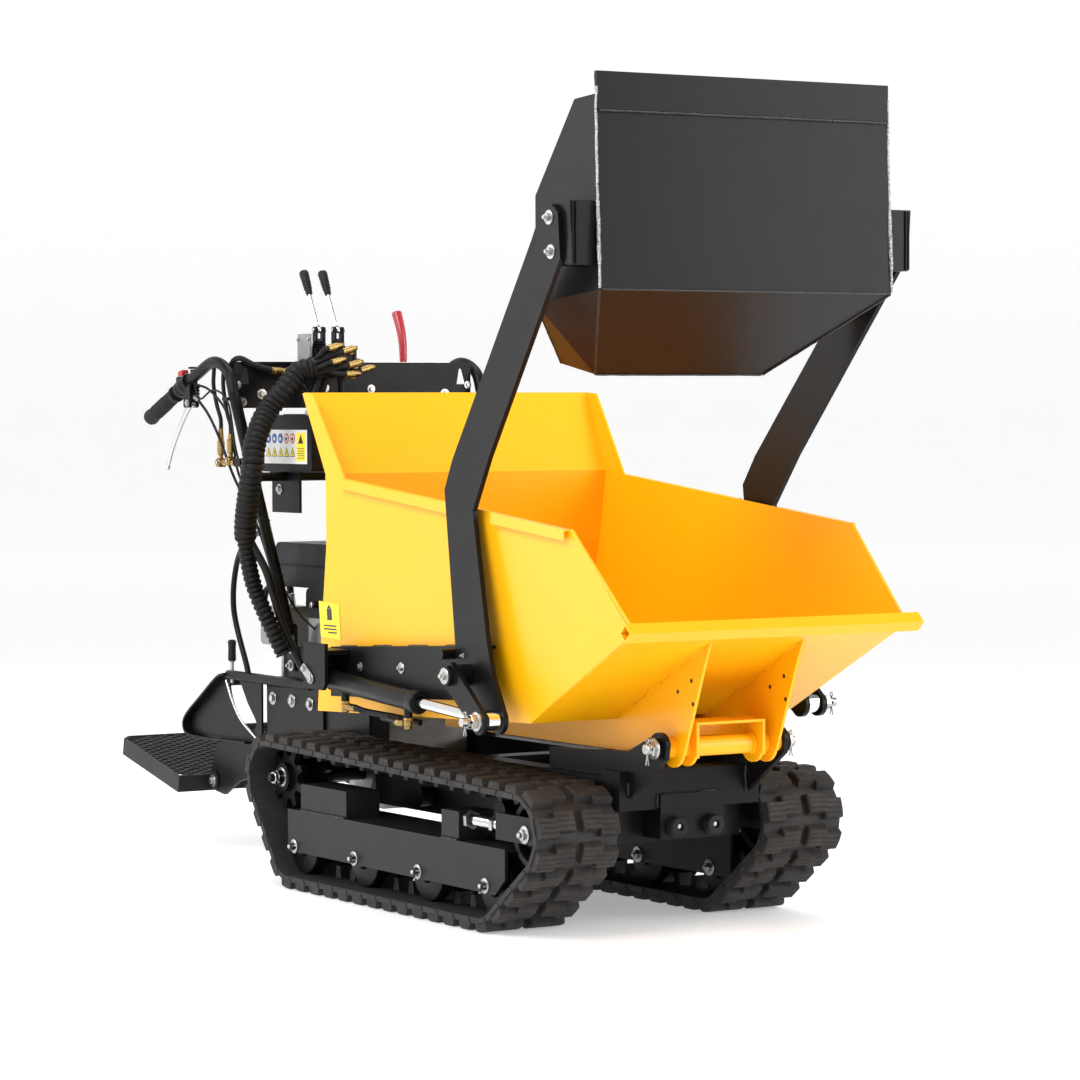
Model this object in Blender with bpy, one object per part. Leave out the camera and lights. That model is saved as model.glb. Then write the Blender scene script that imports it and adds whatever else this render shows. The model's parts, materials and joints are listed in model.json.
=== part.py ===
"""Tracked power wheelbarrow with a tipping skip and a self-loading shovel.

Metres, +Z up, +Y towards the operator, X across the machine. Shapes are laid out from the
front of the tracks (Y = 0) and the whole machine is then centred on the world origin.
"""
import math

import bpy
from mathutils import Matrix, Vector

GAP = 0.0003                # between touching pieces
RUN = 0.0006                # radial clearance of a running pin or wheel

# Overall layout
TRACK_HALF_WIDTH = 0.349    # outer face of the belts from the centre line
BELT_WIDTH = 0.180
BELT_CORE = 0.012
TREAD_HEIGHT = 0.016
TREAD_PITCH = 0.060         # nearest pitch that closes the loop is used
LUG_HEIGHT = 0.025
IDLER_Y, IDLER_Z = 0.092, 0.198
SPROCKET_Y, SPROCKET_Z = 1.096, 0.223
WHEEL_R = 0.067
ROLLER_R = 0.060
ROLLER_FIRST_Y, ROLLER_PITCH = 0.229, 0.257
ROLLERS = 4
TIP_Y, TIP_Z = -0.081, 0.364        # skip hinge
ARM_Y, ARM_Z = 0.248, 0.491         # loading arm pivot
CLEVIS_Y, CLEVIS_Z = 0.143, 0.411   # lift rod on the arm
ANCHOR_Y, ANCHOR_Z = 0.790, 0.453   # lift barrel on the skip
TIP_EYE_Y, TIP_EYE_Z = 0.150, 0.356
TIP_BASE_Y, TIP_BASE_Z = 0.560, 0.215
SKIP_SHEET = 0.004
LIP_Y, LIP_Z = -0.261, 0.594
RIM_FRONT_Y, RIM_FRONT_Z = -0.067, 0.774
RIM_REAR_Y, RIM_REAR_Z = 0.835, 0.865
HEAD_Y, HEAD_Z = 0.921, 1.029
SHOVEL_HALF_WIDTH = 0.328
SHOVEL_SHEET = 0.005
ARM_INNER_X = 0.344
ARM_PLATE = 0.010
ARM_SPLAY = 0.0618          # sideways lean of the upper arm per metre of height
KNEE_FRONT, KNEE_REAR = (0.230, 0.803), (0.335, 0.842)      # ends of the arm's bend line, as (y, z)
LIFT_X = 0.370
HANDLE_X = 0.310
FRAME_X = 0.157             # inner face of the rear side plates
DECK_Z = 0.392
STEP_Y, STEP_Z = 1.675, 0.160
STEP_LENGTH, STEP_HALF_WIDTH = 0.350, 0.250
STEP_TILT = math.radians(10.5)
VALVE_X = (-0.117, -0.071)          # one for each spool
VALVE_Y, VALVE_Z = 1.272, 1.168     # pivots of the valve levers
DRIVE_LEVER_X, DRIVE_LEVER_Y, DRIVE_LEVER_Z = 0.136, 1.352, 1.060
PERCH_Y, PERCH_Z = 1.500, 1.012     # brake lever pivot
SWITCH_Y, SWITCH_Z = 1.5435, 1.0705
THROTTLE_Y, THROTTLE_Z = 1.492, 1.086
WALL_AT_ORIGIN, WALL_PER_Y, WALL_PER_Z = 0.2740, 0.0159, 0.0622     # skip wall's X and its lean
MOUNT_X = 0.338             # web of the channel that carries an arm
HANDLE_POINTS = [(-FRAME_X - 0.018, 1.308, 0.520), (-HANDLE_X, 1.300, 1.030), (-HANDLE_X, 1.325, 1.078),
                 (-HANDLE_X, 1.392, 1.100), (-HANDLE_X, 1.470, 1.076), (-HANDLE_X, 1.560, 1.039),
                 (-HANDLE_X, 1.700, 0.982)]

BELT_X = TRACK_HALF_WIDTH - BELT_WIDTH / 2
BELT_INNER_X = TRACK_HALF_WIDTH - BELT_WIDTH
BELT_THICKNESS = BELT_CORE + TREAD_HEIGHT
ROLLER_Z = ROLLER_R + BELT_THICKNESS
ROLLER_LAST_Y = ROLLER_FIRST_Y + ROLLER_PITCH * (ROLLERS - 1)
STEP_REAR_Y = STEP_Y + (STEP_LENGTH + 0.025) * math.cos(STEP_TILT) + 0.030 * math.sin(STEP_TILT)
MID_Y = (LIP_Y - 0.0177 + STEP_REAR_Y) / 2
CHASSIS_X = BELT_INNER_X - 0.009
TUBE_R = 0.0125             # handlebar tube
SHAFT_R = 0.016             # drive shafts
GEARBOX_X = 0.112           # ends of the gearbox's shaft flanges
AXLE_R = 0.009              # fixed axles of rollers and idlers

PAINTS = {
    "yellow_paint": ((1.0, 0.49, 0.0), 0.35, 0.0),
    "black_paint": ((0.013, 0.013, 0.014), 0.45, 0.0),
    "charcoal_paint": ((0.035, 0.035, 0.038), 0.5, 0.0),
    "track_rubber": ((0.022, 0.020, 0.019), 0.85, 0.0),
    "soft_rubber": ((0.012, 0.012, 0.012), 0.8, 0.0),
    "black_plastic": ((0.012, 0.012, 0.012), 0.5, 0.0),
    "red_plastic": ((0.45, 0.02, 0.025), 0.4, 0.0),
    "hard_chrome": ((0.75, 0.75, 0.76), 0.12, 1.0),
    "cast_aluminium": ((0.42, 0.42, 0.41), 0.45, 1.0),
}


# ---------------------------------------------------------------- solids as (points, faces)

def prism(outline, x0, x1):
    """Extrude a (y, z) outline along X."""
    area = sum(a[0] * b[1] - b[0] * a[1] for a, b in zip(outline, outline[1:] + outline[:1]))
    ring = list(outline) if area > 0 else list(outline)[::-1]
    n = len(ring)
    low, high = sorted((x0, x1))
    points = [(low, y, z) for y, z in ring] + [(high, y, z) for y, z in ring]
    faces = [tuple(range(n))[::-1], tuple(range(n, 2 * n))]
    faces += [(i, (i + 1) % n, n + (i + 1) % n, n + i) for i in range(n)]
    return points, faces


def box(x0, x1, y0, y1, z0, z1):
    return prism([(y0, z0), (y1, z0), (y1, z1), (y0, z1)], x0, x1)


def circle(y, z, r, sides=20, start=0.0, turn=2 * math.pi):
    """Points round (y, z); a full turn leaves out the last point."""
    count = sides if turn >= 2 * math.pi - 1e-6 else sides + 1
    return [(y + r * math.cos(start + turn * i / sides), z + r * math.sin(start + turn * i / sides))
            for i in range(count)]


def disc(y, z, r, x0, x1, sides=20):
    return prism(circle(y, z, r, sides), x0, x1)


def turned(profile, y, z, sides=20):
    """Turn a closed (x, radius) profile about the X axis through (y, z)."""
    points, faces = [], []
    area = sum(a[0] * b[1] - b[0] * a[1] for a, b in zip(profile, profile[1:] + profile[:1]))
    ring = list(profile) if area > 0 else list(profile)[::-1]
    n = len(ring)
    for k in range(sides):
        angle = 2 * math.pi * k / sides
        points += [(x, y + r * math.cos(angle), z + r * math.sin(angle)) for x, r in ring]
    for k in range(sides):
        a, b = k * n, (k + 1) % sides * n
        faces += [(a + i, a + (i + 1) % n, b + (i + 1) % n, b + i) for i in range(n)]
    return points, faces


def bar(path, radius, sides=10):
    """A round bar along a path of points; radius is one number or one for each point."""
    path = [Vector(p) for p in path]
    radii = radius if isinstance(radius, list) else [radius] * len(path)
    points, faces = [], []
    heading = (path[1] - path[0]).normalized()
    side = heading.orthogonal().normalized()
    for i, (here, r) in enumerate(zip(path, radii)):
        before = (here - path[i - 1]).normalized() if i else heading
        after = (path[i + 1] - here).normalized() if i + 1 < len(path) else before
        tangent = (before + after).normalized()
        side = (side - side.dot(tangent) * tangent).normalized()
        up = tangent.cross(side)
        for k in range(sides):
            angle = 2 * math.pi * k / sides
            points.append(here + r * (math.cos(angle) * side + math.sin(angle) * up))
    for i in range(len(path) - 1):
        a, b = i * sides, (i + 1) * sides
        faces += [(a + k, a + (k + 1) % sides, b + (k + 1) % sides, b + k) for k in range(sides)]
    last = (len(path) - 1) * sides
    faces += [tuple(range(sides))[::-1], tuple(range(last, last + sides))]
    return [tuple(p) for p in points], faces


def smooth_path(points, steps=4):
    """Catmull-Rom curve through the points."""
    p = [Vector(q) for q in points]
    p = [2 * p[0] - p[1]] + p + [2 * p[-1] - p[-2]]
    path = []
    for i in range(1, len(p) - 2):
        for s in range(steps):
            t = s / steps
            path.append(0.5 * (2 * p[i] + (p[i + 1] - p[i - 1]) * t
                               + (2 * p[i - 1] - 5 * p[i] + 4 * p[i + 1] - p[i + 2]) * t * t
                               + (3 * p[i] - p[i - 1] - 3 * p[i + 1] + p[i + 2]) * t ** 3))
    return path + [p[-2]]


def mirrored(solid):
    points, faces = solid
    return [(-x, y, z) for x, y, z in points], [tuple(f[::-1]) for f in faces]


def both(*solids):
    return list(solids) + [mirrored(s) for s in solids]


def sided(solids, side):
    """Solids drawn for -X stay there for side -1 and are mirrored for side +1."""
    return [mirrored(s) for s in solids] if side > 0 else list(solids)


def moved(solid, matrix):
    points, faces = solid
    return [tuple(matrix @ Vector(p)) for p in points], faces


def about_x(solid, y, z, angle):
    turn = Matrix.Translation((0, y, z)) @ Matrix.Rotation(angle, 4, "X") @ Matrix.Translation((0, -y, -z))
    return moved(solid, turn)


# ---------------------------------------------------------------- objects

def paint(name):
    material = bpy.data.materials.get(name)
    if material is None:
        colour, roughness, metallic = PAINTS[name]
        material = bpy.data.materials.new(name)
        material.use_nodes = True
        shader = material.node_tree.nodes["Principled BSDF"]
        shader.inputs["Base Color"].default_value = (*colour, 1.0)
        shader.inputs["Roughness"].default_value = roughness
        shader.inputs["Metallic"].default_value = metallic
        material.diffuse_color = (*colour, 1.0)
    return material


def joint_frame(name, y=0.0, z=0.0, x=0.0, parent=None):
    """An empty on a joint's axis; the machine's own frame is the one without a parent."""
    frame = bpy.data.objects.new(name, None)
    bpy.context.scene.collection.objects.link(frame)
    frame["origin"] = (x, y, z)
    if parent is None:
        frame.location = (x, y - MID_Y, z)
    else:
        frame.parent = parent
        frame.location = Vector((x, y, z)) - Vector(parent["origin"])
    return frame


def new_object(name, solid, origin):
    mesh = bpy.data.meshes.new(name)
    points, faces = solid
    mesh.from_pydata([tuple(Vector(p) - origin) for p in points], [], faces)
    mesh.update()
    obj = bpy.data.objects.new(name, mesh)
    bpy.context.scene.collection.objects.link(obj)
    return obj


def build(name, frame, material, solids, cuts=(), smooth=True):
    """Fuse the solids, take away the cuts, and hang the result on its joint's frame."""
    origin = Vector(frame["origin"])
    body = new_object(name, solids[0], origin)
    tools = []
    for operation, group in (("UNION", solids[1:]), ("DIFFERENCE", cuts)):
        for solid in group:
            tool = new_object("tool", solid, origin)
            tool.hide_render = True
            tool.display_type = "WIRE"
            modifier = body.modifiers.new(operation, "BOOLEAN")
            modifier.operation = operation
            modifier.solver = "EXACT"
            modifier.object = tool
            tools.append(tool)
    if tools:
        graph = bpy.context.evaluated_depsgraph_get()
        mesh = bpy.data.meshes.new_from_object(body.evaluated_get(graph))
        body.modifiers.clear()
        body.data = mesh
        mesh.name = name
        for tool in tools:
            bpy.data.objects.remove(tool)
    body.data.materials.clear()
    body.data.materials.append(paint(material))
    if smooth:
        body.data.shade_smooth()
        body.data.set_sharp_from_angle(angle=math.radians(35))
    body.parent = frame
    return body


# ---------------------------------------------------------------- tracks

def wheel_circles(offset):
    """The wheels that the belt runs round, grown by an offset, counter-clockwise from the front roller."""
    return [(ROLLER_FIRST_Y, ROLLER_Z, ROLLER_R + offset), (ROLLER_LAST_Y, ROLLER_Z, ROLLER_R + offset),
            (SPROCKET_Y, SPROCKET_Z, WHEEL_R + offset), (IDLER_Y, IDLER_Z, WHEEL_R + offset)]


def belt_line(offset):
    """Arcs and straight runs of the belt at an offset from the wheels: (kind, data, length)."""
    wheels = wheel_circles(offset)
    normals = []
    for (ya, za, ra), (yb, zb, rb) in zip(wheels, wheels[1:] + wheels[:1]):
        reach = math.hypot(yb - ya, zb - za)
        along = math.atan2(zb - za, yb - ya)
        normals.append(along - math.acos((ra - rb) / reach))
    pieces = []
    for i, (y, z, r) in enumerate(wheels):
        start, end = normals[i - 1], normals[i]
        while end < start:
            end += 2 * math.pi
        pieces.append(("arc", (y, z, r, start, end), r * (end - start)))
        yb, zb, rb = wheels[(i + 1) % len(wheels)]
        a = (y + r * math.cos(end), z + r * math.sin(end))
        b = (yb + rb * math.cos(end), zb + rb * math.sin(end))
        pieces.append(("run", (a, b, end), math.hypot(b[0] - a[0], b[1] - a[1])))
    return pieces


def belt_point(pieces, s):
    """The point and outward angle at a distance along the belt line."""
    s %= sum(length for _, _, length in pieces)
    for kind, data, length in pieces:
        if s <= length:
            break
        s -= length
    if kind == "arc":
        y, z, r, start, end = data
        angle = start + (end - start) * s / length
        return y + r * math.cos(angle), z + r * math.sin(angle), angle
    a, b, angle = data
    t = s / length
    return a[0] + (b[0] - a[0]) * t, a[1] + (b[1] - a[1]) * t, angle


def toothed_loop(offset, height, base, tip, shift):
    """Closed outline with one tooth for each link, standing out by height (negative stands in)."""
    pieces = belt_line(offset)
    total = sum(length for _, _, length in pieces)
    links = round(total / TREAD_PITCH)
    pitch = total / links
    outline = []
    for k in range(links):
        for along, rise in ((-base / 2, 0), (-tip / 2, height), (tip / 2, height), (base / 2, 0)):
            y, z, angle = belt_point(pieces, (k + 0.5 + shift) * pitch + along)
            outline.append((y + rise * math.cos(angle), z + rise * math.sin(angle)))
    return outline


def plain_loop(offset, step=math.radians(10)):
    outline = []
    for kind, data, _ in belt_line(offset):
        if kind == "arc":
            y, z, r, start, end = data
            count = max(2, math.ceil((end - start) / step))
            outline += [(y + r * math.cos(start + (end - start) * i / count),
                         z + r * math.sin(start + (end - start) * i / count)) for i in range(count + 1)]
    return outline


def make_belt(side, frame):
    x = BELT_X * side
    half = BELT_WIDTH / 2
    lug_half = 0.018
    tread = prism(toothed_loop(BELT_CORE, TREAD_HEIGHT, 0.046, 0.030, 0.0), x - half, x + half)
    bore = prism(plain_loop(0.0), x - half - 0.01, x + half + 0.01)
    lugs = prism(plain_loop(BELT_CORE / 2), x - lug_half, x + lug_half)
    lug_bore = prism(toothed_loop(0.0, -LUG_HEIGHT, 0.026, 0.016, 0.5), x - half, x + half)
    rail = build("lug_ring", frame, "track_rubber", [lugs], [lug_bore])
    lug_solid = as_solid(rail, Vector(frame["origin"]))
    bpy.data.objects.remove(rail)
    belt = build("belt_ring", frame, "track_rubber", [tread], [bore])
    belt_solid = as_solid(belt, Vector(frame["origin"]))
    bpy.data.objects.remove(belt)
    return build(side_name("track_belt", side), frame, "track_rubber", [belt_solid, lug_solid])


def as_solid(obj, origin):
    points = [tuple(v.co + origin) for v in obj.data.vertices]
    return points, [tuple(p.vertices) for p in obj.data.polygons]


def side_name(name, side):
    """Right and left as the operator sees them, standing behind and facing -Y."""
    return f"{name}_{'right' if side < 0 else 'left'}"


def make_sprocket(side, frame):
    """Two toothed discs either side of the guide lugs, on the drive shaft."""
    teeth = 9
    tooth_r = WHEEL_R - RUN
    root_r = 0.046
    outline = []
    for k in range(teeth):
        for turn, r in ((-0.30, root_r), (-0.16, tooth_r), (0.16, tooth_r), (0.30, root_r)):
            angle = 2 * math.pi * (k + turn) / teeth
            outline.append((SPROCKET_Y + r * math.cos(angle), SPROCKET_Z + r * math.sin(angle)))
    x = BELT_X
    solids = [prism(outline, -x - 0.036, -x - 0.022), prism(outline, -x + 0.022, -x + 0.036),
              disc(SPROCKET_Y, SPROCKET_Z, 0.030, -x - 0.048, -x + 0.060, 16),
              disc(SPROCKET_Y, SPROCKET_Z, SHAFT_R, -x - 0.062, -GEARBOX_X - 0.004, 12)]
    return build(side_name("drive_sprocket", side), frame, "black_paint", sided(solids, side))


def wheel_profile(x, r, groove_r, half, groove_half, bore_r):
    """Two treads with a groove between them for the guide lugs, bored for a fixed axle."""
    return [(x - half, bore_r), (x - half, r), (x - groove_half, r), (x - groove_half, groove_r),
            (x + groove_half, groove_r), (x + groove_half, r), (x + half, r), (x + half, bore_r)]


def make_idler(side, frame):
    profile = wheel_profile(-BELT_X, WHEEL_R - RUN, WHEEL_R - LUG_HEIGHT - 0.005, 0.053, 0.022, AXLE_R + RUN)
    return build(side_name("idler_wheel", side), frame, "black_paint",
                 sided([turned(profile, IDLER_Y, IDLER_Z, 24)], side))


def make_roller(side, number, frame):
    y = ROLLER_FIRST_Y + ROLLER_PITCH * number
    groove_r = ROLLER_R - LUG_HEIGHT - 0.005
    profile = wheel_profile(-BELT_X, ROLLER_R - RUN, groove_r, 0.055, 0.022, AXLE_R + RUN)
    name = f"{side_name('roller', side)}_{number + 1}"
    return build(name, frame, "black_paint", sided([turned(profile, y, ROLLER_Z, 16)], side))


def make_roller_frame(side, frame):
    """Inverted channel that carries the rollers' fixed axles, with the box and slide for the tensioner."""
    outer_x = TRACK_HALF_WIDTH - 0.019
    inner_x = BELT_INNER_X + 0.019
    y0, y1 = ROLLER_FIRST_Y - 0.072, ROLLER_LAST_Y + 0.028
    web_z = ROLLER_Z + ROLLER_R + 0.010
    solids = [
        prism([(y0, web_z + 0.006), (y0, ROLLER_Z + 0.018), (y0 + 0.036, ROLLER_Z - 0.014),
               (y1, ROLLER_Z - 0.011), (y1, web_z + 0.006)], -outer_x, -outer_x + 0.007),
        box(-inner_x - 0.007, -inner_x, y0, y1, ROLLER_Z - 0.014, web_z + 0.006),
        box(-outer_x + 0.003, -inner_x - 0.003, y0 + 0.002, y1 - 0.002, web_z, web_z + 0.005),
        box(-outer_x + 0.004, -inner_x - 0.060, 0.783, 0.977, web_z + 0.002, web_z + 0.062),
        box(-outer_x + 0.004, -inner_x - 0.060, 0.334, 0.400, web_z + 0.002, web_z + 0.062)]
    for k in range(ROLLERS):
        y = ROLLER_FIRST_Y + ROLLER_PITCH * k
        solids.append(disc(y, ROLLER_Z, AXLE_R, -outer_x - 0.010, -inner_x + 0.004, 10))
    return build(side_name("roller_frame", side), frame, "charcoal_paint", sided(solids, side))


def make_tensioner(side, frame):
    """Fork plates and axle of the idler, and the rod that pushes them forward."""
    outer_x = TRACK_HALF_WIDTH - 0.024
    inner_x = BELT_INNER_X + 0.019
    y0, y1 = IDLER_Y - 0.045, IDLER_Y + 0.106
    z0, z1 = IDLER_Z - 0.018, IDLER_Z + 0.033
    solids = [box(-outer_x, -outer_x + 0.008, y0, y1, z0, z1),
              box(-inner_x - 0.008, -inner_x, y0, y1, z0, z1),
              box(-outer_x + 0.004, -inner_x - 0.004, y1 - 0.010, y1 - 0.001, z0 + 0.002, z1 - 0.002),
              disc(IDLER_Y, IDLER_Z, AXLE_R, -outer_x - 0.008, -inner_x + 0.006, 10),
              bar([(-BELT_X - 0.045, y, IDLER_Z + 0.006) for y in (y1 - 0.004, 0.3337)], 0.011, 12)]
    return build(side_name("track_tensioner", side), frame, "black_paint", sided(solids, side))


# ---------------------------------------------------------------- chassis and rear frame

def make_chassis(frame):
    rail_in = CHASSIS_X - 0.045
    beam_y0, beam_y1 = 0.020, 0.080
    ear = [(TIP_Y - 0.028, TIP_Z + 0.008)]
    ear += circle(TIP_Y, TIP_Z, 0.030, 8, math.radians(165), -math.radians(120))
    ear += [(0.020, 0.352), (0.300, 0.338), (0.300, 0.244), (0.050, 0.241), (-0.104, 0.344)]
    side_plate = [(1.180, 0.244), (1.438, 0.244), (1.438, 0.386), (1.336, 0.390), (1.336, 0.482),
                  (1.180, 0.482)]
    cross = [box(-CHASSIS_X, CHASSIS_X, y, y + 0.050, 0.246, 0.290) for y in (0.620, 1.380)]
    solids = [
        box(-CHASSIS_X, CHASSIS_X, beam_y0, beam_y1, 0.238, 0.313),
        box(-0.150, 0.150, beam_y1 - 0.010, beam_y1 + 0.004, 0.174, 0.250),
        box(-0.148, 0.148, beam_y1 - 0.004, 0.985, 0.170, 0.176),
        box(-0.073, 0.073, 0.012, 0.074, 0.181, 0.266),
        *both(box(-CHASSIS_X + 0.001, -rail_in, beam_y1 - 0.002, 1.450, 0.242, 0.300),
              prism(ear, -0.140, -0.130),
              box(-0.146, -0.128, 0.110, 0.980, 0.173, 0.245),
              prism(side_plate, -FRAME_X - 0.0055, -FRAME_X),
              prism([(TIP_BASE_Y - 0.05, 0.172), (TIP_BASE_Y + 0.05, 0.172), (TIP_BASE_Y + 0.022, 0.238),
                     (TIP_BASE_Y - 0.022, 0.238)], -0.030, -0.022),
              disc(TIP_BASE_Y, TIP_BASE_Z, 0.008, -0.024, -0.001, 12)),
        *cross,
        disc(TIP_Y, TIP_Z, 0.010 - RUN, -0.168, 0.168, 14),
        *both(disc(TIP_Y, TIP_Z, 0.0185, -0.150, -0.138, 14),
              disc(TIP_Y, TIP_Z, 0.014, -0.162, -0.148, 6))]
    reach = BELT_INNER_X + 0.019 - 0.007 - GAP
    solids += [disc(y, 0.205, 0.020, -reach, reach, 14) for y in (0.420, 0.740)]
    return build("chassis_frame", frame, "black_paint", solids)


def make_bumper(side, frame):
    """Rubber buffer on the front block."""
    x = 0.041 * side
    washer = bar([(x, -0.010, 0.205), (x, 0.0117, 0.205)], 0.019, 18)
    hole = bar([(x, -0.012, 0.205), (x, -0.004, 0.205)], 0.007, 12)
    return build(side_name("front_bumper", side), frame, "soft_rubber", [washer], [hole])


def make_rear_frame(frame):
    """Guard loops with their webs, side tubes and the brackets that the step hangs on."""
    x = FRAME_X + 0.008
    loop = smooth_path([(0, 1.604, 0.408), (0, 1.640, 0.398), (0, 1.720, 0.350), (0, 1.795, 0.303),
                        (0, 1.809, 0.275), (0, 1.785, 0.256), (0, 1.700, 0.252), (0, 1.600, 0.254),
                        (0, 1.500, 0.256)], 3)
    outer = [(p.y, p.z) for p in loop]
    inner = offset_line(outer, 0.005)
    strip = outer + inner[::-1]
    web = [(1.452, 0.258), (1.604, 0.258), (1.780, 0.260), (1.800, 0.278), (1.790, 0.300), (1.712, 0.350),
           (1.640, 0.393), (1.604, 0.404), (1.452, 0.404)]
    window = smooth_ring([(1.600, 0.392), (1.560, 0.394), (1.518, 0.345), (1.475, 0.300), (1.520, 0.284),
                          (1.570, 0.315), (1.604, 0.365)])
    bracket = [(1.452, 0.262), (1.585, 0.262), (1.668, 0.242), (1.690, 0.190), (1.6975, 0.165),
               (1.692, 0.146), (1.672, 0.137), (1.630, 0.132), (1.560, 0.168), (1.452, 0.190)]
    solids = both(
        prism(strip, -x - 0.022, -x + 0.018),
        prism(web, -x - 0.004, -x + 0.001),
        bar([(-x - 0.002, 1.225, 0.402), (-x - 0.002, 1.612, 0.403)], 0.011, 12),
        prism(bracket, -x - 0.006, -x + 0.002),
        disc(STEP_Y, STEP_Z, 0.007 - RUN, -x - 0.017, -x - 0.002, 12))
    solids += [disc(1.775, 0.268, 0.008, -x, x, 12), disc(1.640, 0.384, 0.008, -x, x, 12),
               box(-x, x, 1.560, 1.566, 0.180, 0.255)]
    cuts = both(prism(window, -x - 0.03, -x + 0.0165), box(-x - 0.002, -x + 0.02, 1.170, 1.4503, 0.38, 0.43))
    return build("rear_frame", frame, "black_paint", solids, cuts)


def offset_line(line, distance):
    """A polyline moved sideways to its right by a distance."""
    out = []
    for i, (y, z) in enumerate(line):
        ya, za = line[max(i - 1, 0)]
        yb, zb = line[min(i + 1, len(line) - 1)]
        length = math.hypot(yb - ya, zb - za)
        out.append((y + (zb - za) / length * distance, z - (yb - ya) / length * distance))
    return out


def smooth_ring(points, steps=3):
    p = [Vector((0, y, z)) for y, z in points]
    n = len(p)
    ring = []
    for i in range(n):
        a, b, c, d = p[i - 1], p[i], p[(i + 1) % n], p[(i + 2) % n]
        for s in range(steps):
            t = s / steps
            q = 0.5 * (2 * b + (c - a) * t + (2 * a - 5 * b + 4 * c - d) * t * t
                       + (3 * b - a - 3 * c + d) * t ** 3)
            ring.append((q.y, q.z))
    return ring


def make_step(frame):
    """Fold-up platform: a pierced tread plate in a flat-bar rim, drawn level and then tilted."""
    y0, y1 = STEP_Y + 0.025, STEP_Y + 0.025 + STEP_LENGTH
    top, deep = STEP_Z + 0.008, STEP_Z - 0.030
    wide, narrow = STEP_HALF_WIDTH, STEP_HALF_WIDTH - 0.018

    def slab(inset, z0, z1):
        outline = [(-wide + inset, y0 + inset), (wide - inset, y0 + inset),
                   (narrow - inset, y1 - 0.02 - inset), (narrow - 0.02 - inset, y1 - inset),
                   (-narrow + 0.02 + inset, y1 - inset), (-narrow + inset, y1 - 0.02 - inset)]
        n = len(outline)
        points = [(x, y, z0) for x, y in outline] + [(x, y, z1) for x, y in outline]
        faces = [tuple(range(n))[::-1], tuple(range(n, 2 * n))]
        return points, faces + [(i, (i + 1) % n, n + (i + 1) % n, n + i) for i in range(n)]

    ear_x = FRAME_X + 0.0145
    ear = circle(STEP_Y, STEP_Z, 0.020, 8, math.radians(90), math.radians(180))
    ear += [(y0 + 0.012, deep + 0.004), (y0 + 0.012, STEP_Z + 0.006)]
    solids = [slab(0, deep, top)] + both(prism(ear, -ear_x - 0.005, -ear_x))
    cuts = [slab(0.004, deep - 0.01, top - 0.003)]
    cuts += both(disc(STEP_Y, STEP_Z, 0.007, -ear_x - 0.02, -ear_x + 0.02, 14))
    cuts += [box(-0.190 + 0.100 * i, -0.110 + 0.100 * i, y0 + 0.030 + 0.105 * j, y0 + 0.110 + 0.105 * j,
                 top - 0.02, top + 0.02)
             for i in range(4) for j in range(3)]
    solids, cuts = ([about_x(s, STEP_Y, STEP_Z, STEP_TILT) for s in group] for group in (solids, cuts))
    return build("step_platform", frame, "charcoal_paint", solids, cuts)


# ---------------------------------------------------------------- engine and hydraulics

def make_engine_deck(frame):
    edge = FRAME_X - GAP
    solids = [box(-edge, edge, 0.985, 1.450, DECK_Z, DECK_Z + 0.006),
              box(-edge, edge, 0.985, 0.991, DECK_Z - 0.030, DECK_Z + 0.004),
              *both(box(-edge, -edge + 0.006, 0.988, 1.4497, 0.3003, DECK_Z + 0.002))]
    return build("engine_deck", frame, "black_paint", solids)


def make_engine(frame):
    """Crankcase with a finned cylinder leaning forward, and a shaft cover on the pulley side."""
    base = DECK_Z + 0.006 + GAP
    solids = [box(-0.105, 0.098, 1.120, 1.350, base + 0.002, base + 0.146),
              box(-0.120, 0.098, 1.135, 1.335, base, base + 0.020),
              disc(1.240, base + 0.080, 0.060, -0.130, -0.100, 16)]
    cylinder = box(-0.055, 0.055, 1.000, 1.130, base + 0.050, base + 0.130)
    fins = [box(-0.075, 0.075, 1.010 + 0.022 * i, 1.016 + 0.022 * i, base + 0.032, base + 0.146)
            for i in range(5)]
    lean = math.radians(-14)
    solids += [about_x(s, 1.120, base + 0.09, lean) for s in [cylinder] + fins]
    return build("engine_block", frame, "cast_aluminium", solids)


def rounded_box(x0, x1, y0, y1, z0, z1, r, steps=3):
    """A box with its long X edges rounded."""
    outline = []
    corners = ((y1 - r, z1 - r, 0), (y0 + r, z1 - r, 90), (y0 + r, z0 + r, 180), (y1 - r, z0 + r, 270))
    for y, z, start in corners:
        outline += circle(y, z, r, steps, math.radians(start), math.radians(90))
    return prism(outline, x0, x1)


def make_fuel_tank(frame):
    cap = bar([(0.060, 1.260, 0.700), (0.060, 1.260, 0.728)], 0.032, 18)
    solids = [rounded_box(-0.165, 0.150, 1.140, 1.392, 0.612, 0.708, 0.022), cap]
    return build("fuel_tank", frame, "black_plastic", solids)


def make_recoil_cover(frame):
    """Round blower housing of the pull starter, on the operator's left."""
    z = DECK_Z + 0.112
    solids = [disc(1.235, z, 0.104, 0.0983, 0.138, 22), disc(1.235, z, 0.070, 0.136, 0.1565, 18)]
    return build("recoil_cover", frame, "black_paint", solids)


def make_air_filter(frame):
    solids = [rounded_box(-0.165, -0.060, 1.150, 1.250, 0.5475, 0.6117, 0.012, 2),
              disc(1.195, 0.578, 0.008, -0.178, -0.160, 10)]
    return build("air_filter", frame, "black_plastic", solids)


def make_muffler(frame):
    solids = [rounded_box(-0.030, 0.098, 1.262, 1.385, 0.5495, 0.6117, 0.016, 2),
              bar([(0.070, 1.375, 0.580), (0.070, 1.412, 0.580)], 0.012, 10)]
    return build("muffler", frame, "cast_aluminium", solids)


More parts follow.
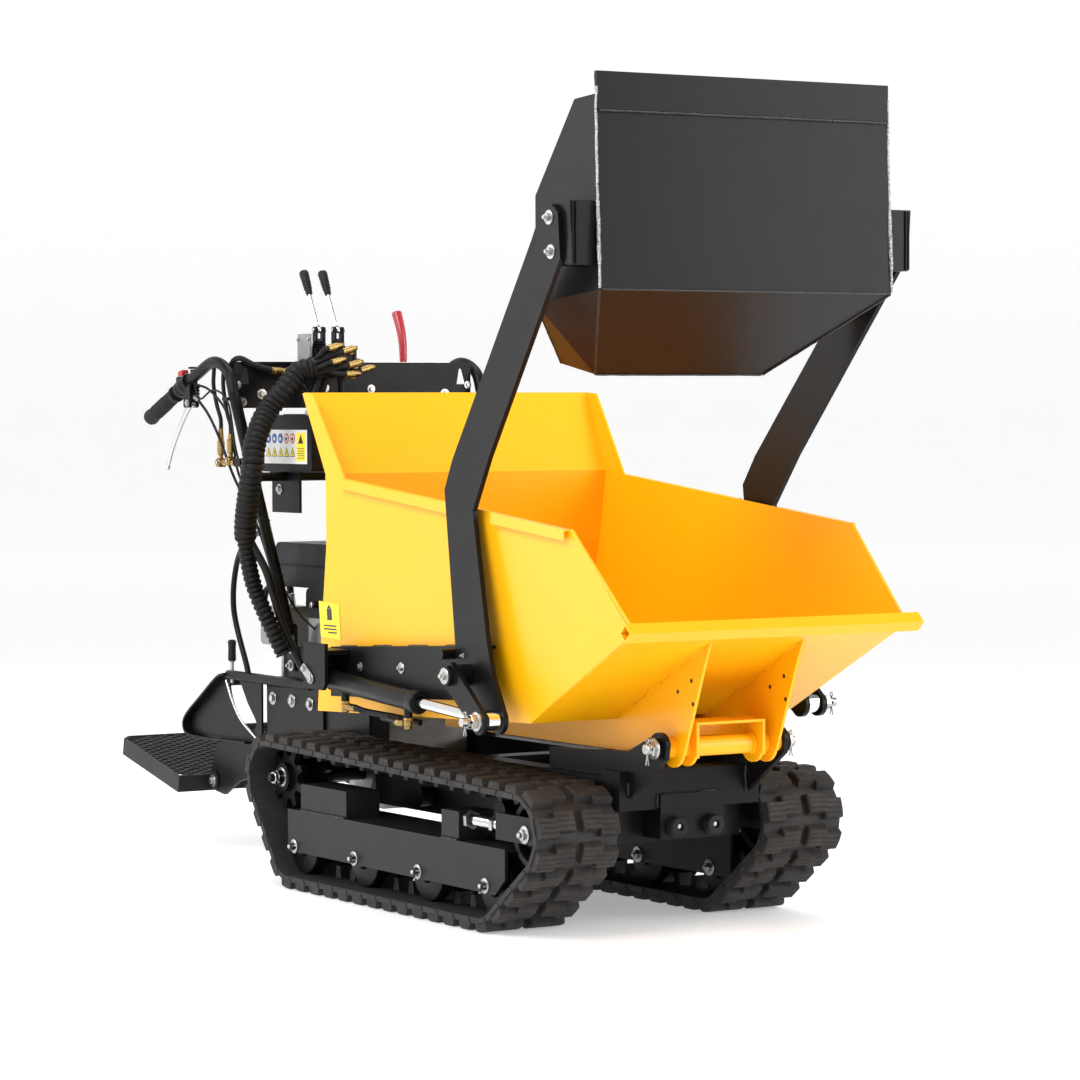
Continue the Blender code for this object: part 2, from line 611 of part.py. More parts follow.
def make_gearbox(frame):
    """Gearbox between the tracks; the drive shafts turn in its side flanges."""
    y, z = SPROCKET_Y, SPROCKET_Z
    solids = [rounded_box(-0.095, 0.095, y - 0.085, y + 0.090, z - 0.075, z + 0.135, 0.025),
              *both(disc(y, z, 0.045, -GEARBOX_X, -0.090, 16))]
    shaft_hole = both(disc(y, z, SHAFT_R + RUN, -GEARBOX_X - 0.01, -GEARBOX_X + 0.012, 12))
    return build("gearbox", frame, "cast_aluminium", solids, shaft_hole)


def make_pump(frame):
    """Gear pump behind the engine, on its bracket."""
    base = DECK_Z + 0.006 + GAP
    solids = [box(-0.150, -0.070, 1.385, 1.440, base, base + 0.010),
              box(-0.145, -0.080, 1.392, 1.402, base + 0.006, base + 0.165),
              rounded_box(-0.150, -0.075, 1.398, 1.490, base + 0.080, base + 0.165, 0.012),
              bar([(-0.112, 1.485, base + 0.122), (-0.112, 1.512, base + 0.122)], 0.014, 12)]
    return build("hydraulic_pump", frame, "cast_aluminium", solids)


def make_oil_tank(frame):
    solids = [rounded_box(-0.200, 0.200, 1.155, 1.388, 0.862, 0.985, 0.010, 2),
              bar([(0.120, 1.200, 0.980), (0.120, 1.200, 1.012)], 0.022, 16)]
    return build("hydraulic_tank", frame, "black_paint", solids)


def handle_line(z):
    """Centre of the handlebar's rising leg at a height, as (x, y)."""
    low, high = HANDLE_POINTS[0], HANDLE_POINTS[1]
    t = (z - low[2]) / (high[2] - low[2])
    return low[0] + (high[0] - low[0]) * t, low[1] + (high[1] - low[1]) * t


def make_tank_cradle(frame):
    """Cross bar between the handlebars that the tank sits on, with its hanging bracket."""
    z = 0.862 - GAP - 0.010
    x, y = handle_line(z)
    reach = -x - TUBE_R - 0.0045
    solids = [bar([(-reach, y, z), (reach, y, z)], 0.010, 12),
              box(-0.186, 0.186, y - 0.070, y + 0.070, z - 0.003, z + 0.0097),
              box(-0.186, -0.180, y - 0.065, y + 0.060, z - 0.078, z),
              box(0.180, 0.186, y - 0.065, y + 0.060, z - 0.078, z)]
    return build("tank_cradle", frame, "black_paint", solids)


def make_console(frame):
    """Cross panel between the handlebars with pierced ears, and the valve's shelf."""
    x = HANDLE_X - TUBE_R - 0.0015
    y = 1.3255
    solids = [box(-x, x, y, y + 0.005, 1.0, 1.100),
              box(-x + 0.05, x - 0.05, y + 0.002, y + 0.060, 1.095, 1.100),
              box(-0.158, -0.030, 1.232, y + 0.002, 1.066, 1.072),
              *both(box(-x + 0.040, -x + 0.045, y + 0.002, y + 0.060, 1.020, 1.098))]
    solids += [box(DRIVE_LEVER_X + a - 0.002, DRIVE_LEVER_X + a + 0.002, y + 0.003, y + 0.038, 1.046, 1.074)
               for a in (-0.012, 0.012)]
    ear = [(-x + 0.012, 1.052), (-x + 0.036, 1.052), (-x + 0.030, 1.086), (-x + 0.022, 1.086)]
    window = ([(a, y - 0.01, b) for a, b in ear] + [(a, y + 0.02, b) for a, b in ear],
              [(0, 1, 2, 3), (7, 6, 5, 4), (1, 0, 4, 5), (2, 1, 5, 6), (3, 2, 6, 7), (0, 3, 7, 4)])
    slot = box(DRIVE_LEVER_X - 0.018, DRIVE_LEVER_X + 0.018, y + 0.008, y + 0.054, 1.080, 1.12)
    cuts = both(window) + [slot]
    return build("control_console", frame, "black_paint", solids, cuts)


def make_valve(frame):
    """Two-spool valve with a lever stub on each spool and its ports facing forward."""
    solids = [box(-0.150, -0.042, 1.238, 1.306, 1.0723, 1.128)]
    for x in VALVE_X:
        solids += [bar([(x, VALVE_Y, 1.120), (x, VALVE_Y, 1.150)], 0.015, 14),
                   box(x - 0.012, x - 0.007, VALVE_Y - 0.010, VALVE_Y + 0.010, 1.146, 1.176),
                   box(x + 0.007, x + 0.012, VALVE_Y - 0.010, VALVE_Y + 0.010, 1.146, 1.176)]
    for i, x in enumerate((-0.132, -0.108, -0.084, -0.060)):
        z = 1.112 if i % 2 else 1.090
        solids.append(bar([(x, 1.245, z), (x, 1.214, z)], 0.009, 10))
    return build("control_valve", frame, "cast_aluminium", solids)


def make_valve_lever(number, frame):
    x = VALVE_X[number]
    tip = (x, VALVE_Y + 0.070, VALVE_Z + 0.130)
    lean = Vector(tip) - Vector((x, VALVE_Y, VALVE_Z))
    grip = [Vector((x, VALVE_Y, VALVE_Z)) + lean * t for t in (0.62, 0.68, 0.92, 1.0)]
    solids = [bar([(x, VALVE_Y, VALVE_Z), tuple(grip[2])], 0.0040, 10),
              bar(grip, [0.0075, 0.0085, 0.0105, 0.0085], 12),
              disc(VALVE_Y, VALVE_Z, 0.0065, x - 0.0065, x + 0.0065, 14)]
    return build(f"valve_lever_{number + 1}", frame, "black_plastic", solids)


def make_drive_lever(frame):
    x, y, z = DRIVE_LEVER_X, DRIVE_LEVER_Y, DRIVE_LEVER_Z
    path = smooth_path([(x, y, z), (x, y - 0.004, z + 0.050), (x, y + 0.002, z + 0.100),
                        (x, y + 0.024, z + 0.152)], 3)
    lever = bar(path, [0.0085] * 4 + [0.0110] * (len(path) - 4), 12)
    return build("drive_lever", frame, "red_plastic", [lever])


def make_handlebar(side, frame):
    path = smooth_path(HANDLE_POINTS[1:], 3)
    post_x = FRAME_X + 0.0058
    solids = [bar([HANDLE_POINTS[0]] + [tuple(p) for p in path], TUBE_R, 12),
              box(-post_x - 0.008, -post_x, 1.290, 1.328, 0.428, 0.532)] + perch(side)
    return build(side_name("handlebar", side), frame, "black_paint", sided(solids, side))


def handle_rear(t):
    """A point on the straight rear leg of the right handlebar, t from its bend to its end."""
    return Vector(HANDLE_POINTS[-2]).lerp(Vector(HANDLE_POINTS[-1]), t)


def make_grip(side, frame):
    path = [handle_rear(t) for t in (0.10, 0.16, 0.9, 1.06)]
    bore = bar([handle_rear(t) for t in (-0.2, 1.012)], TUBE_R + 0.0005, 12)
    solid = bar(path, [0.019, 0.0165, 0.0165, 0.018], 16)
    return build(side_name("hand_grip", side), frame, "soft_rubber",
                 sided([solid], side), sided([bore], side))


def perch(side):
    """Clamp of the brake lever on the right handlebar, with the switch housing on that side only."""
    x = -HANDLE_X
    solids = [bar([handle_rear(-0.36), handle_rear(-0.02)], 0.0195, 14),
              box(x - 0.0115, x - 0.0065, PERCH_Y - 0.012, PERCH_Y + 0.022, PERCH_Z - 0.010, PERCH_Z + 0.040),
              box(x + 0.0065, x + 0.0115, PERCH_Y - 0.012, PERCH_Y + 0.022, PERCH_Z - 0.010, PERCH_Z + 0.040)]
    if side < 0:
        solids.append(box(x - 0.011, x + 0.011, 1.531, 1.556, 1.056, 1.070))
        solids.append(bar([(x, THROTTLE_Y, 1.070), (x, THROTTLE_Y, THROTTLE_Z - 0.001)], 0.007, 10))
    return solids


def make_brake_lever(side, frame):
    x = -HANDLE_X
    path = smooth_path([(x, PERCH_Y, PERCH_Z), (x, PERCH_Y + 0.035, PERCH_Z - 0.030),
                        (x, PERCH_Y + 0.085, PERCH_Z - 0.085), (x, PERCH_Y + 0.122, PERCH_Z - 0.142)], 3)
    count = len(path)
    solids = [bar(path, [0.0058 - 0.0018 * i / count for i in range(count - 1)] + [0.0065], 10),
              disc(PERCH_Y, PERCH_Z, 0.009, x - 0.0060, x + 0.0060, 14)]
    return build(side_name("brake_lever", side), frame, "hard_chrome", sided(solids, side))


def make_kill_switch(frame):
    x = -HANDLE_X
    outline = [(SWITCH_Y - 0.010, SWITCH_Z + 0.0005), (SWITCH_Y + 0.010, SWITCH_Z + 0.0005),
               (SWITCH_Y + 0.012, SWITCH_Z + 0.010), (SWITCH_Y - 0.012, SWITCH_Z + 0.014)]
    solid = prism(outline, x - 0.008, x + 0.008)
    return build("kill_switch", frame, "red_plastic", [solid])


def make_throttle_lever(frame):
    """Thumb lever that swings flat above the right handlebar."""
    x, z0, z1 = -HANDLE_X, THROTTLE_Z, THROTTLE_Z + 0.005
    solids = [bar([(x, THROTTLE_Y, z0), (x, THROTTLE_Y, z1)], 0.012, 14),
              box(x + 0.004, x + 0.048, THROTTLE_Y - 0.005, THROTTLE_Y + 0.005, z0 + 0.0005, z1 - 0.0005)]
    return build("throttle_lever", frame, "black_plastic", solids)


def make_hose_sleeve(frame):
    """Wrapped bundle of hoses from the valve down to the chassis."""
    path = smooth_path([(-0.190, 1.232, 1.076), (-0.220, 1.230, 1.045), (-0.262, 1.238, 0.993),
                        (-0.300, 1.220, 0.931), (-0.315, 1.211, 0.862), (-0.303, 1.264, 0.745),
                        (-0.285, 1.285, 0.668), (-0.262, 1.295, 0.603), (-0.236, 1.270, 0.523),
                        (-0.218, 1.252, 0.470)], 2)
    radii = [0.024 if p.z > 0.70 else 0.0175 for p in path]
    return build("hose_sleeve", frame, "black_plastic", [bar(path, radii, 10)])


# ---------------------------------------------------------------- skip

def wall_x(y, z):
    """Outer face of the skip's side walls, which lean out towards the rim and the rear."""
    return WALL_AT_ORIGIN + WALL_PER_Y * y + WALL_PER_Z * z


def make_skip(frame):
    """Folded sheet body: floor, front ramp, rear wall, headboard with wings, side walls, rim and lip tube."""
    front = [(LIP_Y + 0.010, LIP_Z - 0.006), (0.110, 0.405)]
    back = [(0.927, 0.375), (0.896, 0.520), (0.849, 0.720), (RIM_REAR_Y, RIM_REAR_Z)]
    slope = (RIM_REAR_Z - RIM_FRONT_Z) / (RIM_REAR_Y - RIM_FRONT_Y)
    wing_y = RIM_REAR_Y - 0.075
    wing = (wing_y, RIM_REAR_Z - (RIM_REAR_Y - wing_y) * slope)
    side = front + back + [wing, (RIM_FRONT_Y, RIM_FRONT_Z)]
    points, faces = [], []
    for sign in (-1, 1):
        points += [(sign * wall_x(y, z), y, z) for y, z in side]
        points += [(sign * 0.347, HEAD_Y, HEAD_Z), (sign * 0.347, HEAD_Y - 0.040, HEAD_Z)]
    half = len(points) // 2
    faces.append(tuple(range(len(side))))
    faces.append(tuple(range(half, half + len(side)))[::-1])
    for i in range(5):
        faces.append((i + 1, i, half + i, half + i + 1))
    head, tip = len(side), len(side) + 1
    faces += [(head, 5, half + 5, half + head), (5, head, tip, 6),
              (half + 6, half + tip, half + head, half + 5)]
    shell = new_object("skip_surface", (points, faces), Vector())
    thick = shell.modifiers.new("sheet", "SOLIDIFY")
    thick.thickness = SKIP_SHEET
    thick.offset = 1
    thick.use_even_offset = True
    mesh = bpy.data.meshes.new_from_object(shell.evaluated_get(bpy.context.evaluated_depsgraph_get()))
    sheet = ([tuple(v.co) for v in mesh.vertices], [tuple(p.vertices) for p in mesh.polygons])
    bpy.data.objects.remove(shell)

    def rim(y0, y1):
        """Outward fold along the top of the right wall."""
        z0, z1 = (RIM_FRONT_Z + (y - RIM_FRONT_Y) * slope for y in (y0, y1))
        corners = []
        for y, z in ((y0, z0), (y1, z1)):
            x = -wall_x(y, z)
            corners += [(x + 0.002, y, z - 0.0003), (x - 0.012, y, z - 0.0003), (x - 0.012, y, z - 0.020),
                        (x - 0.009, y, z - 0.020), (x - 0.009, y, z - 0.0035), (x + 0.002, y, z - 0.0035)]
        quads = [(i, (i + 1) % 6, 6 + (i + 1) % 6, 6 + i) for i in range(6)]
        return corners, quads + [(5, 4, 3, 2, 1, 0), (6, 7, 8, 9, 10, 11)]

    square = [(LIP_Y + 0.0177 * a, LIP_Z + 0.0177 * b) for a, b in ((1, 0), (0, 1), (-1, 0), (0, -1))]
    hollow = [(LIP_Y + 0.0137 * a, LIP_Z + 0.0137 * b) for a, b in ((1, 0), (0, 1), (-1, 0), (0, -1))]
    lip_half = 0.330
    solids = [sheet] + both(rim(-0.060, 0.190), rim(0.335, 0.760)) + [prism(square, -lip_half, lip_half)]
    cuts = [prism(hollow, -lip_half - 0.01, lip_half + 0.01)]
    return build("skip_body", frame, "yellow_paint", solids, cuts)


def floor_z(y):
    """Underside of the skip: the ramp ahead of its foot, the floor behind it."""
    if y < 0.110:
        return 0.405 + (0.110 - y) * (LIP_Z - 0.006 - 0.405) / (0.110 - LIP_Y - 0.012)
    return 0.405 - (y - 0.110) * 0.030 / 0.817


def make_subframe(frame):
    """Ribs and beams under the skip, the hinge tube in its bent strap, and the tipping rod's lugs."""
    drop = 0.0008
    rib = [(-0.205, floor_z(-0.205) - drop - 0.0005), (-0.185, 0.520), (-0.118, 0.352)]
    rib += circle(TIP_Y, TIP_Z, 0.037, 8, math.radians(198), math.radians(110))
    rib += [(0.060, 0.346), (0.755, 0.346), (0.755, floor_z(0.755) - drop), (0.110, 0.405 - drop)]
    strap = [(-0.118, 0.345)] + circle(TIP_Y, TIP_Z, 0.036, 8, math.radians(200), math.radians(140)) + [
        (-0.040, 0.400), (-0.040, 0.412), (-0.118, 0.412)]
    solids = both(prism(rib, -0.108, -0.102), prism(strap, -0.078, -0.072))
    solids += [disc(TIP_Y, TIP_Z, 0.0185, -0.1297, 0.1297, 18),
               box(-0.076, 0.076, -0.118, -0.040, 0.407, 0.412),
               box(-0.104, 0.104, 0.640, 0.690, 0.350, 0.3745),
               box(-0.104, 0.104, 0.300, 0.330, 0.378, 0.390),
               box(-0.104, 0.104, -0.044, -0.038, 0.380, 0.412),
               box(-0.104, 0.104, 0.105, 0.195, 0.385, 0.391),
               *both(box(-0.028, -0.0205, 0.118, 0.182, 0.336, 0.388))]
    cuts = [disc(TIP_Y, TIP_Z, 0.010, -0.2, 0.2, 16)]
    return build("skip_subframe", frame, "yellow_paint", solids, cuts)


def to_wall(outline, x):
    """A plate from x to just short of the skip's leaning wall."""
    area = sum(a[0] * b[1] - b[0] * a[1] for a, b in zip(outline, outline[1:] + outline[:1]))
    ring = outline if area > 0 else outline[::-1]
    n = len(ring)
    points = [(-x, y, z) for y, z in ring] + [(-wall_x(y, z) - GAP, y, z) for y, z in ring]
    faces = [tuple(range(n))[::-1], tuple(range(n, 2 * n))]
    return points, faces + [(i, (i + 1) % n, n + (i + 1) % n, n + i) for i in range(n)]


def make_arm_mount(side, frame):
    """Channel on the skip's side with the arm's pivot, its stop, and the lift cylinder's bracket."""
    front, rear = ARM_Y - 0.052, 0.823
    top_f, top_r, low_f, low_r = 0.547, 0.514, 0.452, 0.413
    outline = [(front, top_f - 0.02), (front + 0.02, top_f), (rear, top_r), (rear, low_r),
               (front + 0.06, 0.440), (front, 0.462)]
    upper = [(front + 0.02, top_f), (rear, top_r), (rear, top_r - 0.006), (front + 0.02, top_f - 0.006)]
    bracket = [(0.735, 0.445), (0.745, 0.432), (0.825, 0.432), (0.825, 0.526), (0.735, 0.526)]
    far = LIFT_X + 0.030
    pin = 0.010
    solids = [prism(outline, -MOUNT_X, -MOUNT_X + 0.006),
              to_wall(upper, MOUNT_X - 0.002),
              to_wall([(front + 0.06, 0.440), (rear, low_r), (rear, low_r + 0.006), (front + 0.06, 0.446)],
                      MOUNT_X - 0.002),
              disc(ARM_Y, ARM_Z, 0.012 - RUN, -0.400, -MOUNT_X + 0.002, 14),
              disc(ARM_Y, ARM_Z, 0.020, -0.407, -0.3965, 16),
              disc(0.308, 0.528, 0.0105, -0.381, -MOUNT_X + 0.002, 14),
              prism(bracket, -far, -far + 0.008),
              box(-far + 0.004, -MOUNT_X + 0.002, 0.8175, 0.8245, 0.434, 0.512),
              box(-far + 0.004, -MOUNT_X + 0.002, 0.740, 0.822, 0.505, 0.512),
              disc(ANCHOR_Y, ANCHOR_Z, pin - RUN, -far + 0.004, -MOUNT_X + 0.002, 14)]
    return build(side_name("arm_mount", side), frame, "black_paint", sided(solids, side))


# ---------------------------------------------------------------- arms and shovel

def splay(points):
    """Lean the part of the arm above its knee outwards."""
    return [(x - ARM_SPLAY * max(0.0, above_knee(y, z)), y, z) for x, y, z in points]


def above_knee(y, z):
    """Distance of a point above the arm's bend line."""
    along_y, along_z = KNEE_REAR[0] - KNEE_FRONT[0], KNEE_REAR[1] - KNEE_FRONT[1]
    return ((z - KNEE_FRONT[1]) * along_y - (y - KNEE_FRONT[0]) * along_z) / math.hypot(along_y, along_z)


def make_arm(side, frame):
    """Dog-leg plate with the pivot boss and the outer cheek of the rod's fork."""
    toe = circle(CLEVIS_Y, CLEVIS_Z, 0.026, 8, math.radians(160), math.radians(160))
    heel = circle(ARM_Y, ARM_Z, 0.046, 6, math.radians(-60), math.radians(75))
    upper = [(0.298, 0.900), (-0.043, 1.306), (-0.076, 1.350), (-0.095, 1.366), (-0.120, 1.366),
             (-0.140, 1.350), (-0.140, 1.268), (0.159, 0.904)]
    x0, x1 = -ARM_INNER_X - ARM_PLATE, -ARM_INNER_X
    ring = toe + heel + [(0.297, 0.545), KNEE_REAR] + upper + [KNEE_FRONT, (0.181, 0.562), (0.160, 0.491)]
    plate = bent_plate(ring, x0, x1)
    cheek = toe + circle(ARM_Y, ARM_Z, 0.026, 8, math.radians(-50), math.radians(150))
    outer = -LIFT_X - 0.016
    solids = [plate, prism(cheek, outer - 0.010, outer),
              disc(ARM_Y, ARM_Z, 0.021, outer - 0.010, x0 + 0.002, 18),
              disc(CLEVIS_Y, CLEVIS_Z, 0.0165, outer - 0.016, outer - 0.008, 16),
              disc(CLEVIS_Y, CLEVIS_Z, 0.0135, outer - 0.034, outer - 0.014, 6),
              disc(CLEVIS_Y, CLEVIS_Z, 0.0080, outer - 0.047, outer - 0.030, 12)]
    cuts = [disc(ARM_Y, ARM_Z, 0.012, outer - 0.02, x1 + 0.01, 16)]
    return build(side_name("loading_arm", side), frame, "black_paint", sided(solids, side), sided(cuts, side))


def bent_plate(ring, x0, x1):
    """A plate with its outline split at the knee, so that both halves stay flat."""
    points, faces = prism(ring, x0, x1)
    low_pair = [i for i, p in enumerate(points) if p[1:] == KNEE_FRONT]
    high_pair = [i for i, p in enumerate(points) if p[1:] == KNEE_REAR]
    split = []
    for face in faces[:2]:
        a = next(i for i, v in enumerate(face) if v in low_pair)
        b = next(i for i, v in enumerate(face) if v in high_pair)
        a, b = min(a, b), max(a, b)
        split += [tuple(face[a:b + 1]), tuple(face[b:] + face[:a + 1])]
    return splay(points), split + faces[2:]


def make_shovel(frame):
    """Sheet shovel: cutting floor, side plates and a tapered back, open at the top when it stands level."""
    w = SHOVEL_HALF_WIDTH
    half = [(-w, -0.165, 1.600), (-w, -0.166, 1.565), (-w, -0.094, 1.560), (-w, 0.042, 1.391),
            (-w, 0.042, 1.192), (-w, -0.179, 1.212), (-0.192, 0.052, 1.061), (-0.192, 0.171, 1.083)]
    n = len(half)
    points = half + [(-x, y, z) for x, y, z in half]
    faces = [(1, 2, 3, 4, 5), (4, 6, 5), (4, 7, 6), (0, 1, n + 1, n), (1, 5, n + 5, n + 1),
             (5, 6, n + 6, n + 5), (6, 7, n + 7, n + 6), (n + 5, n + 4, n + 3, n + 2, n + 1),
             (n + 5, n + 6, n + 4), (n + 6, n + 7, n + 4)]
    surface = new_object("shovel_surface", (points, faces), Vector())
    thick = surface.modifiers.new("sheet", "SOLIDIFY")
    thick.thickness = SHOVEL_SHEET
    thick.offset = -1
    thick.use_even_offset = True
    mesh = bpy.data.meshes.new_from_object(surface.evaluated_get(bpy.context.evaluated_depsgraph_get()))
    sheet = ([tuple(v.co) for v in mesh.vertices], [tuple(p.vertices) for p in mesh.polygons])
    bpy.data.objects.remove(surface)
    blade = prism([(-0.170, 1.536), (-0.165, 1.536), (-0.161, 1.606), (-0.170, 1.606)], -w, w)

    z0, z1 = 1.256, 1.372
    y0, y1 = -0.166, -0.078
    ring = [(y0, z0), (y1, z0), (y1, z1), (y0, z1)]
    arms = [(-ARM_INNER_X - ARM_SPLAY * above_knee(y, z) + 2 * GAP, y, z) for y, z in ring]
    inner = [(-w + 0.002, y, z) for y, z in ring]
    sides = [(i, (i + 1) % 4, (i + 1) % 4 + 4, i + 4) for i in range(4)]
    mount = (arms + inner, [(0, 3, 2, 1), (4, 5, 6, 7)] + sides)
    return build("shovel", frame, "charcoal_paint", [sheet, blade] + both(mount))


# ---------------------------------------------------------------- cylinders

def along_line(y0, z0, y1, z1, d):
    """A point at a distance along the line between two (y, z) points."""
    length = math.hypot(y1 - y0, z1 - z0)
    return y0 + (y1 - y0) * d / length, z0 + (z1 - z0) * d / length


def cylinder_parts(x, base, eye, barrel_r, rod_r, barrel_length, rod_start, base_half, eye_half, pin_r):
    """Barrel and rod of a hydraulic cylinder between two pins, both drawn as hollow-free solids."""
    length = math.hypot(eye[0] - base[0], eye[1] - base[1])

    def at(d):
        y, z = along_line(*base, *eye, d)
        return x, y, z

    barrel = [bar([at(0.031), at(barrel_length)], barrel_r, 18),
              bar([at(barrel_length - 0.022), at(barrel_length + 0.004)], barrel_r + 0.003, 18),
              disc(*base, barrel_r + 0.001, x - base_half, x + base_half, 16),
              bar([at(0.012), at(0.040)], barrel_r - 0.003, 14)]
    bores = [disc(*base, pin_r, x - 0.05, x + 0.05, 14),
             bar([at(0.060), at(barrel_length + 0.02)], rod_r + RUN, 14)]
    rod = [bar([at(rod_start), at(length - 0.012)], rod_r, 14),
           disc(*eye, 0.019, x - eye_half, x + eye_half, 16)]
    return barrel, bores, rod, [disc(*eye, 0.0085, x - 0.05, x + 0.05, 14)]


def make_lift_cylinder(side, barrel_frame, rod_frame):
    barrel, bores, rod, eye_hole = cylinder_parts(-LIFT_X, (ANCHOR_Y, ANCHOR_Z), (CLEVIS_Y, CLEVIS_Z),
                                                  0.020, 0.011, 0.382, 0.255, 0.018, 0.0155, 0.010)
    build(side_name("lift_barrel", side), barrel_frame, "black_paint",
          sided(barrel, side), sided(bores, side))
    build(side_name("lift_rod", side), rod_frame, "hard_chrome", sided(rod, side), sided(eye_hole, side))


def make_tip_cylinder(barrel_frame, rod_frame):
    barrel, bores, rod, eye_hole = cylinder_parts(0.0, (TIP_BASE_Y, TIP_BASE_Z), (TIP_EYE_Y, TIP_EYE_Z),
                                                  0.024, 0.012, 0.320, 0.070, 0.020, 0.020, 0.008 + RUN)
    build("tip_barrel", barrel_frame, "black_paint", barrel, bores)
    build("tip_rod", rod_frame, "hard_chrome", rod, eye_hole)


# ---------------------------------------------------------------- the machine

def make_tracks(chassis):
    for side in (-1, 1):
        make_belt(side, chassis)
        make_roller_frame(side, chassis)
        make_tensioner(side, chassis)
        x = BELT_X * side
        make_sprocket(side, joint_frame(side_name("sprocket_axis", side), SPROCKET_Y, SPROCKET_Z, x, chassis))
        make_idler(side, joint_frame(side_name("idler_axis", side), IDLER_Y, IDLER_Z, x, chassis))
        for k in range(ROLLERS):
            y = ROLLER_FIRST_Y + ROLLER_PITCH * k
            axis = joint_frame(f"{side_name('roller_axis', side)}_{k + 1}", y, ROLLER_Z, x, chassis)
            make_roller(side, k, axis)


def make_machine():
    for obj in list(bpy.data.objects):
        bpy.data.objects.remove(obj, do_unlink=True)
    chassis = joint_frame("machine")
    make_chassis(chassis)
    make_rear_frame(chassis)
    for maker in (make_engine_deck, make_engine, make_fuel_tank, make_recoil_cover, make_air_filter,
                  make_muffler, make_gearbox, make_pump, make_oil_tank, make_tank_cradle, make_console,
                  make_valve, make_hose_sleeve):
        maker(chassis)
    make_tracks(chassis)
    for side in (-1, 1):
        make_bumper(side, chassis)
        make_handlebar(side, chassis)
        make_grip(side, chassis)
        x = HANDLE_X * side
        make_brake_lever(side, joint_frame(side_name("brake_axis", side), PERCH_Y, PERCH_Z, x, chassis))
    for number, x in enumerate(VALVE_X):
        make_valve_lever(number, joint_frame(f"valve_axis_{number + 1}", VALVE_Y, VALVE_Z, x, chassis))
    make_drive_lever(joint_frame("drive_axis", DRIVE_LEVER_Y, DRIVE_LEVER_Z, DRIVE_LEVER_X, chassis))
    make_kill_switch(joint_frame("switch_axis", SWITCH_Y, SWITCH_Z, -HANDLE_X, chassis))
    make_throttle_lever(joint_frame("throttle_axis", THROTTLE_Y, THROTTLE_Z, -HANDLE_X, chassis))
    make_step(joint_frame("step_axis", STEP_Y, STEP_Z, 0.0, chassis))
    skip = joint_frame("tip_axis", TIP_Y, TIP_Z, 0.0, chassis)
    make_skip(skip)
    make_subframe(skip)
    arms = joint_frame("arm_axis", ARM_Y, ARM_Z, 0.0, skip)
    for side in (-1, 1):
        make_arm_mount(side, skip)
        make_arm(side, arms)
        barrel = joint_frame(side_name("lift_axis", side), ANCHOR_Y, ANCHOR_Z, LIFT_X * side, skip)
        make_lift_cylinder(side, barrel, joint_frame(side_name("lift_slide", side), CLEVIS_Y, CLEVIS_Z,
                                                     LIFT_X * side, barrel))
    make_shovel(arms)
    barrel = joint_frame("tip_barrel_axis", TIP_BASE_Y, TIP_BASE_Z, 0.0, chassis)
    make_tip_cylinder(barrel, joint_frame("tip_slide", TIP_EYE_Y, TIP_EYE_Z, 0.0, barrel))


make_machine()
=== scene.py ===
"""Looks of the tracked power wheelbarrow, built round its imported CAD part.

Lengths are metres. Shapes are laid out in the frame whose Y = 0 is the front of the tracks, and S is the
shift from there to the row frame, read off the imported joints.
"""
import math

import bmesh
import bpy
from mathutils import Matrix, Vector, noise
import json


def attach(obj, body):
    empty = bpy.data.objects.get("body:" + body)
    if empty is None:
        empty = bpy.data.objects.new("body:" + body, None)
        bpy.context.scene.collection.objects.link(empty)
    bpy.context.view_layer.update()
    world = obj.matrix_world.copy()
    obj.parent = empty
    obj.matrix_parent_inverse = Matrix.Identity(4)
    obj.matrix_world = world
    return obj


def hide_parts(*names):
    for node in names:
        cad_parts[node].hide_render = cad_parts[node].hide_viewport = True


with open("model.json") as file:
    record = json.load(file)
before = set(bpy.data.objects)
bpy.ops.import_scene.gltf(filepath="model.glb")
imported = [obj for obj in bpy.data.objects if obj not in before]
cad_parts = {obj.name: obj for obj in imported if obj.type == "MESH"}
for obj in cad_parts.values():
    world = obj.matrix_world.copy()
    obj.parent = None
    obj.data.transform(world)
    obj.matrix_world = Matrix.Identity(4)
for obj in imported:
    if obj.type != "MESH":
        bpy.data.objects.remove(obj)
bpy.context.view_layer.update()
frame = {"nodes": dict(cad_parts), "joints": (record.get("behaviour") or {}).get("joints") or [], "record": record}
JOINTS = {j["name"]: j for j in frame["joints"]}
S = JOINTS["idler_spin_right"]["pos_m"][1] - 0.092


def V(x, y, z):
    """A point laid out from the front of the tracks, in the row frame."""
    return Vector((x, y + S, z))


# ---------------------------------------------------------------- materials

def shader(name, colour, rough=0.5, metal=0.0, coat=0.0, coat_rough=0.1):
    m = bpy.data.materials.new(name)
    m.use_nodes = True
    p = m.node_tree.nodes["Principled BSDF"]
    p.inputs["Base Color"].default_value = (*colour, 1)
    p.inputs["Roughness"].default_value = rough
    p.inputs["Metallic"].default_value = metal
    p.inputs["Coat Weight"].default_value = coat
    p.inputs["Coat Roughness"].default_value = coat_rough
    return m, m.node_tree, p


def node(tree, kind, **inputs):
    n = tree.nodes.new(kind)
    for key, value in inputs.items():
        n.inputs[key.replace("_", " ")].default_value = value
    return n


def noise_of(tree, coords, scale, detail=4.0, roughness=0.6):
    n = node(tree, "ShaderNodeTexNoise", Scale=scale, Detail=detail, Roughness=roughness)
    tree.links.new(coords, n.inputs["Vector"])
    return n.outputs["Fac"]


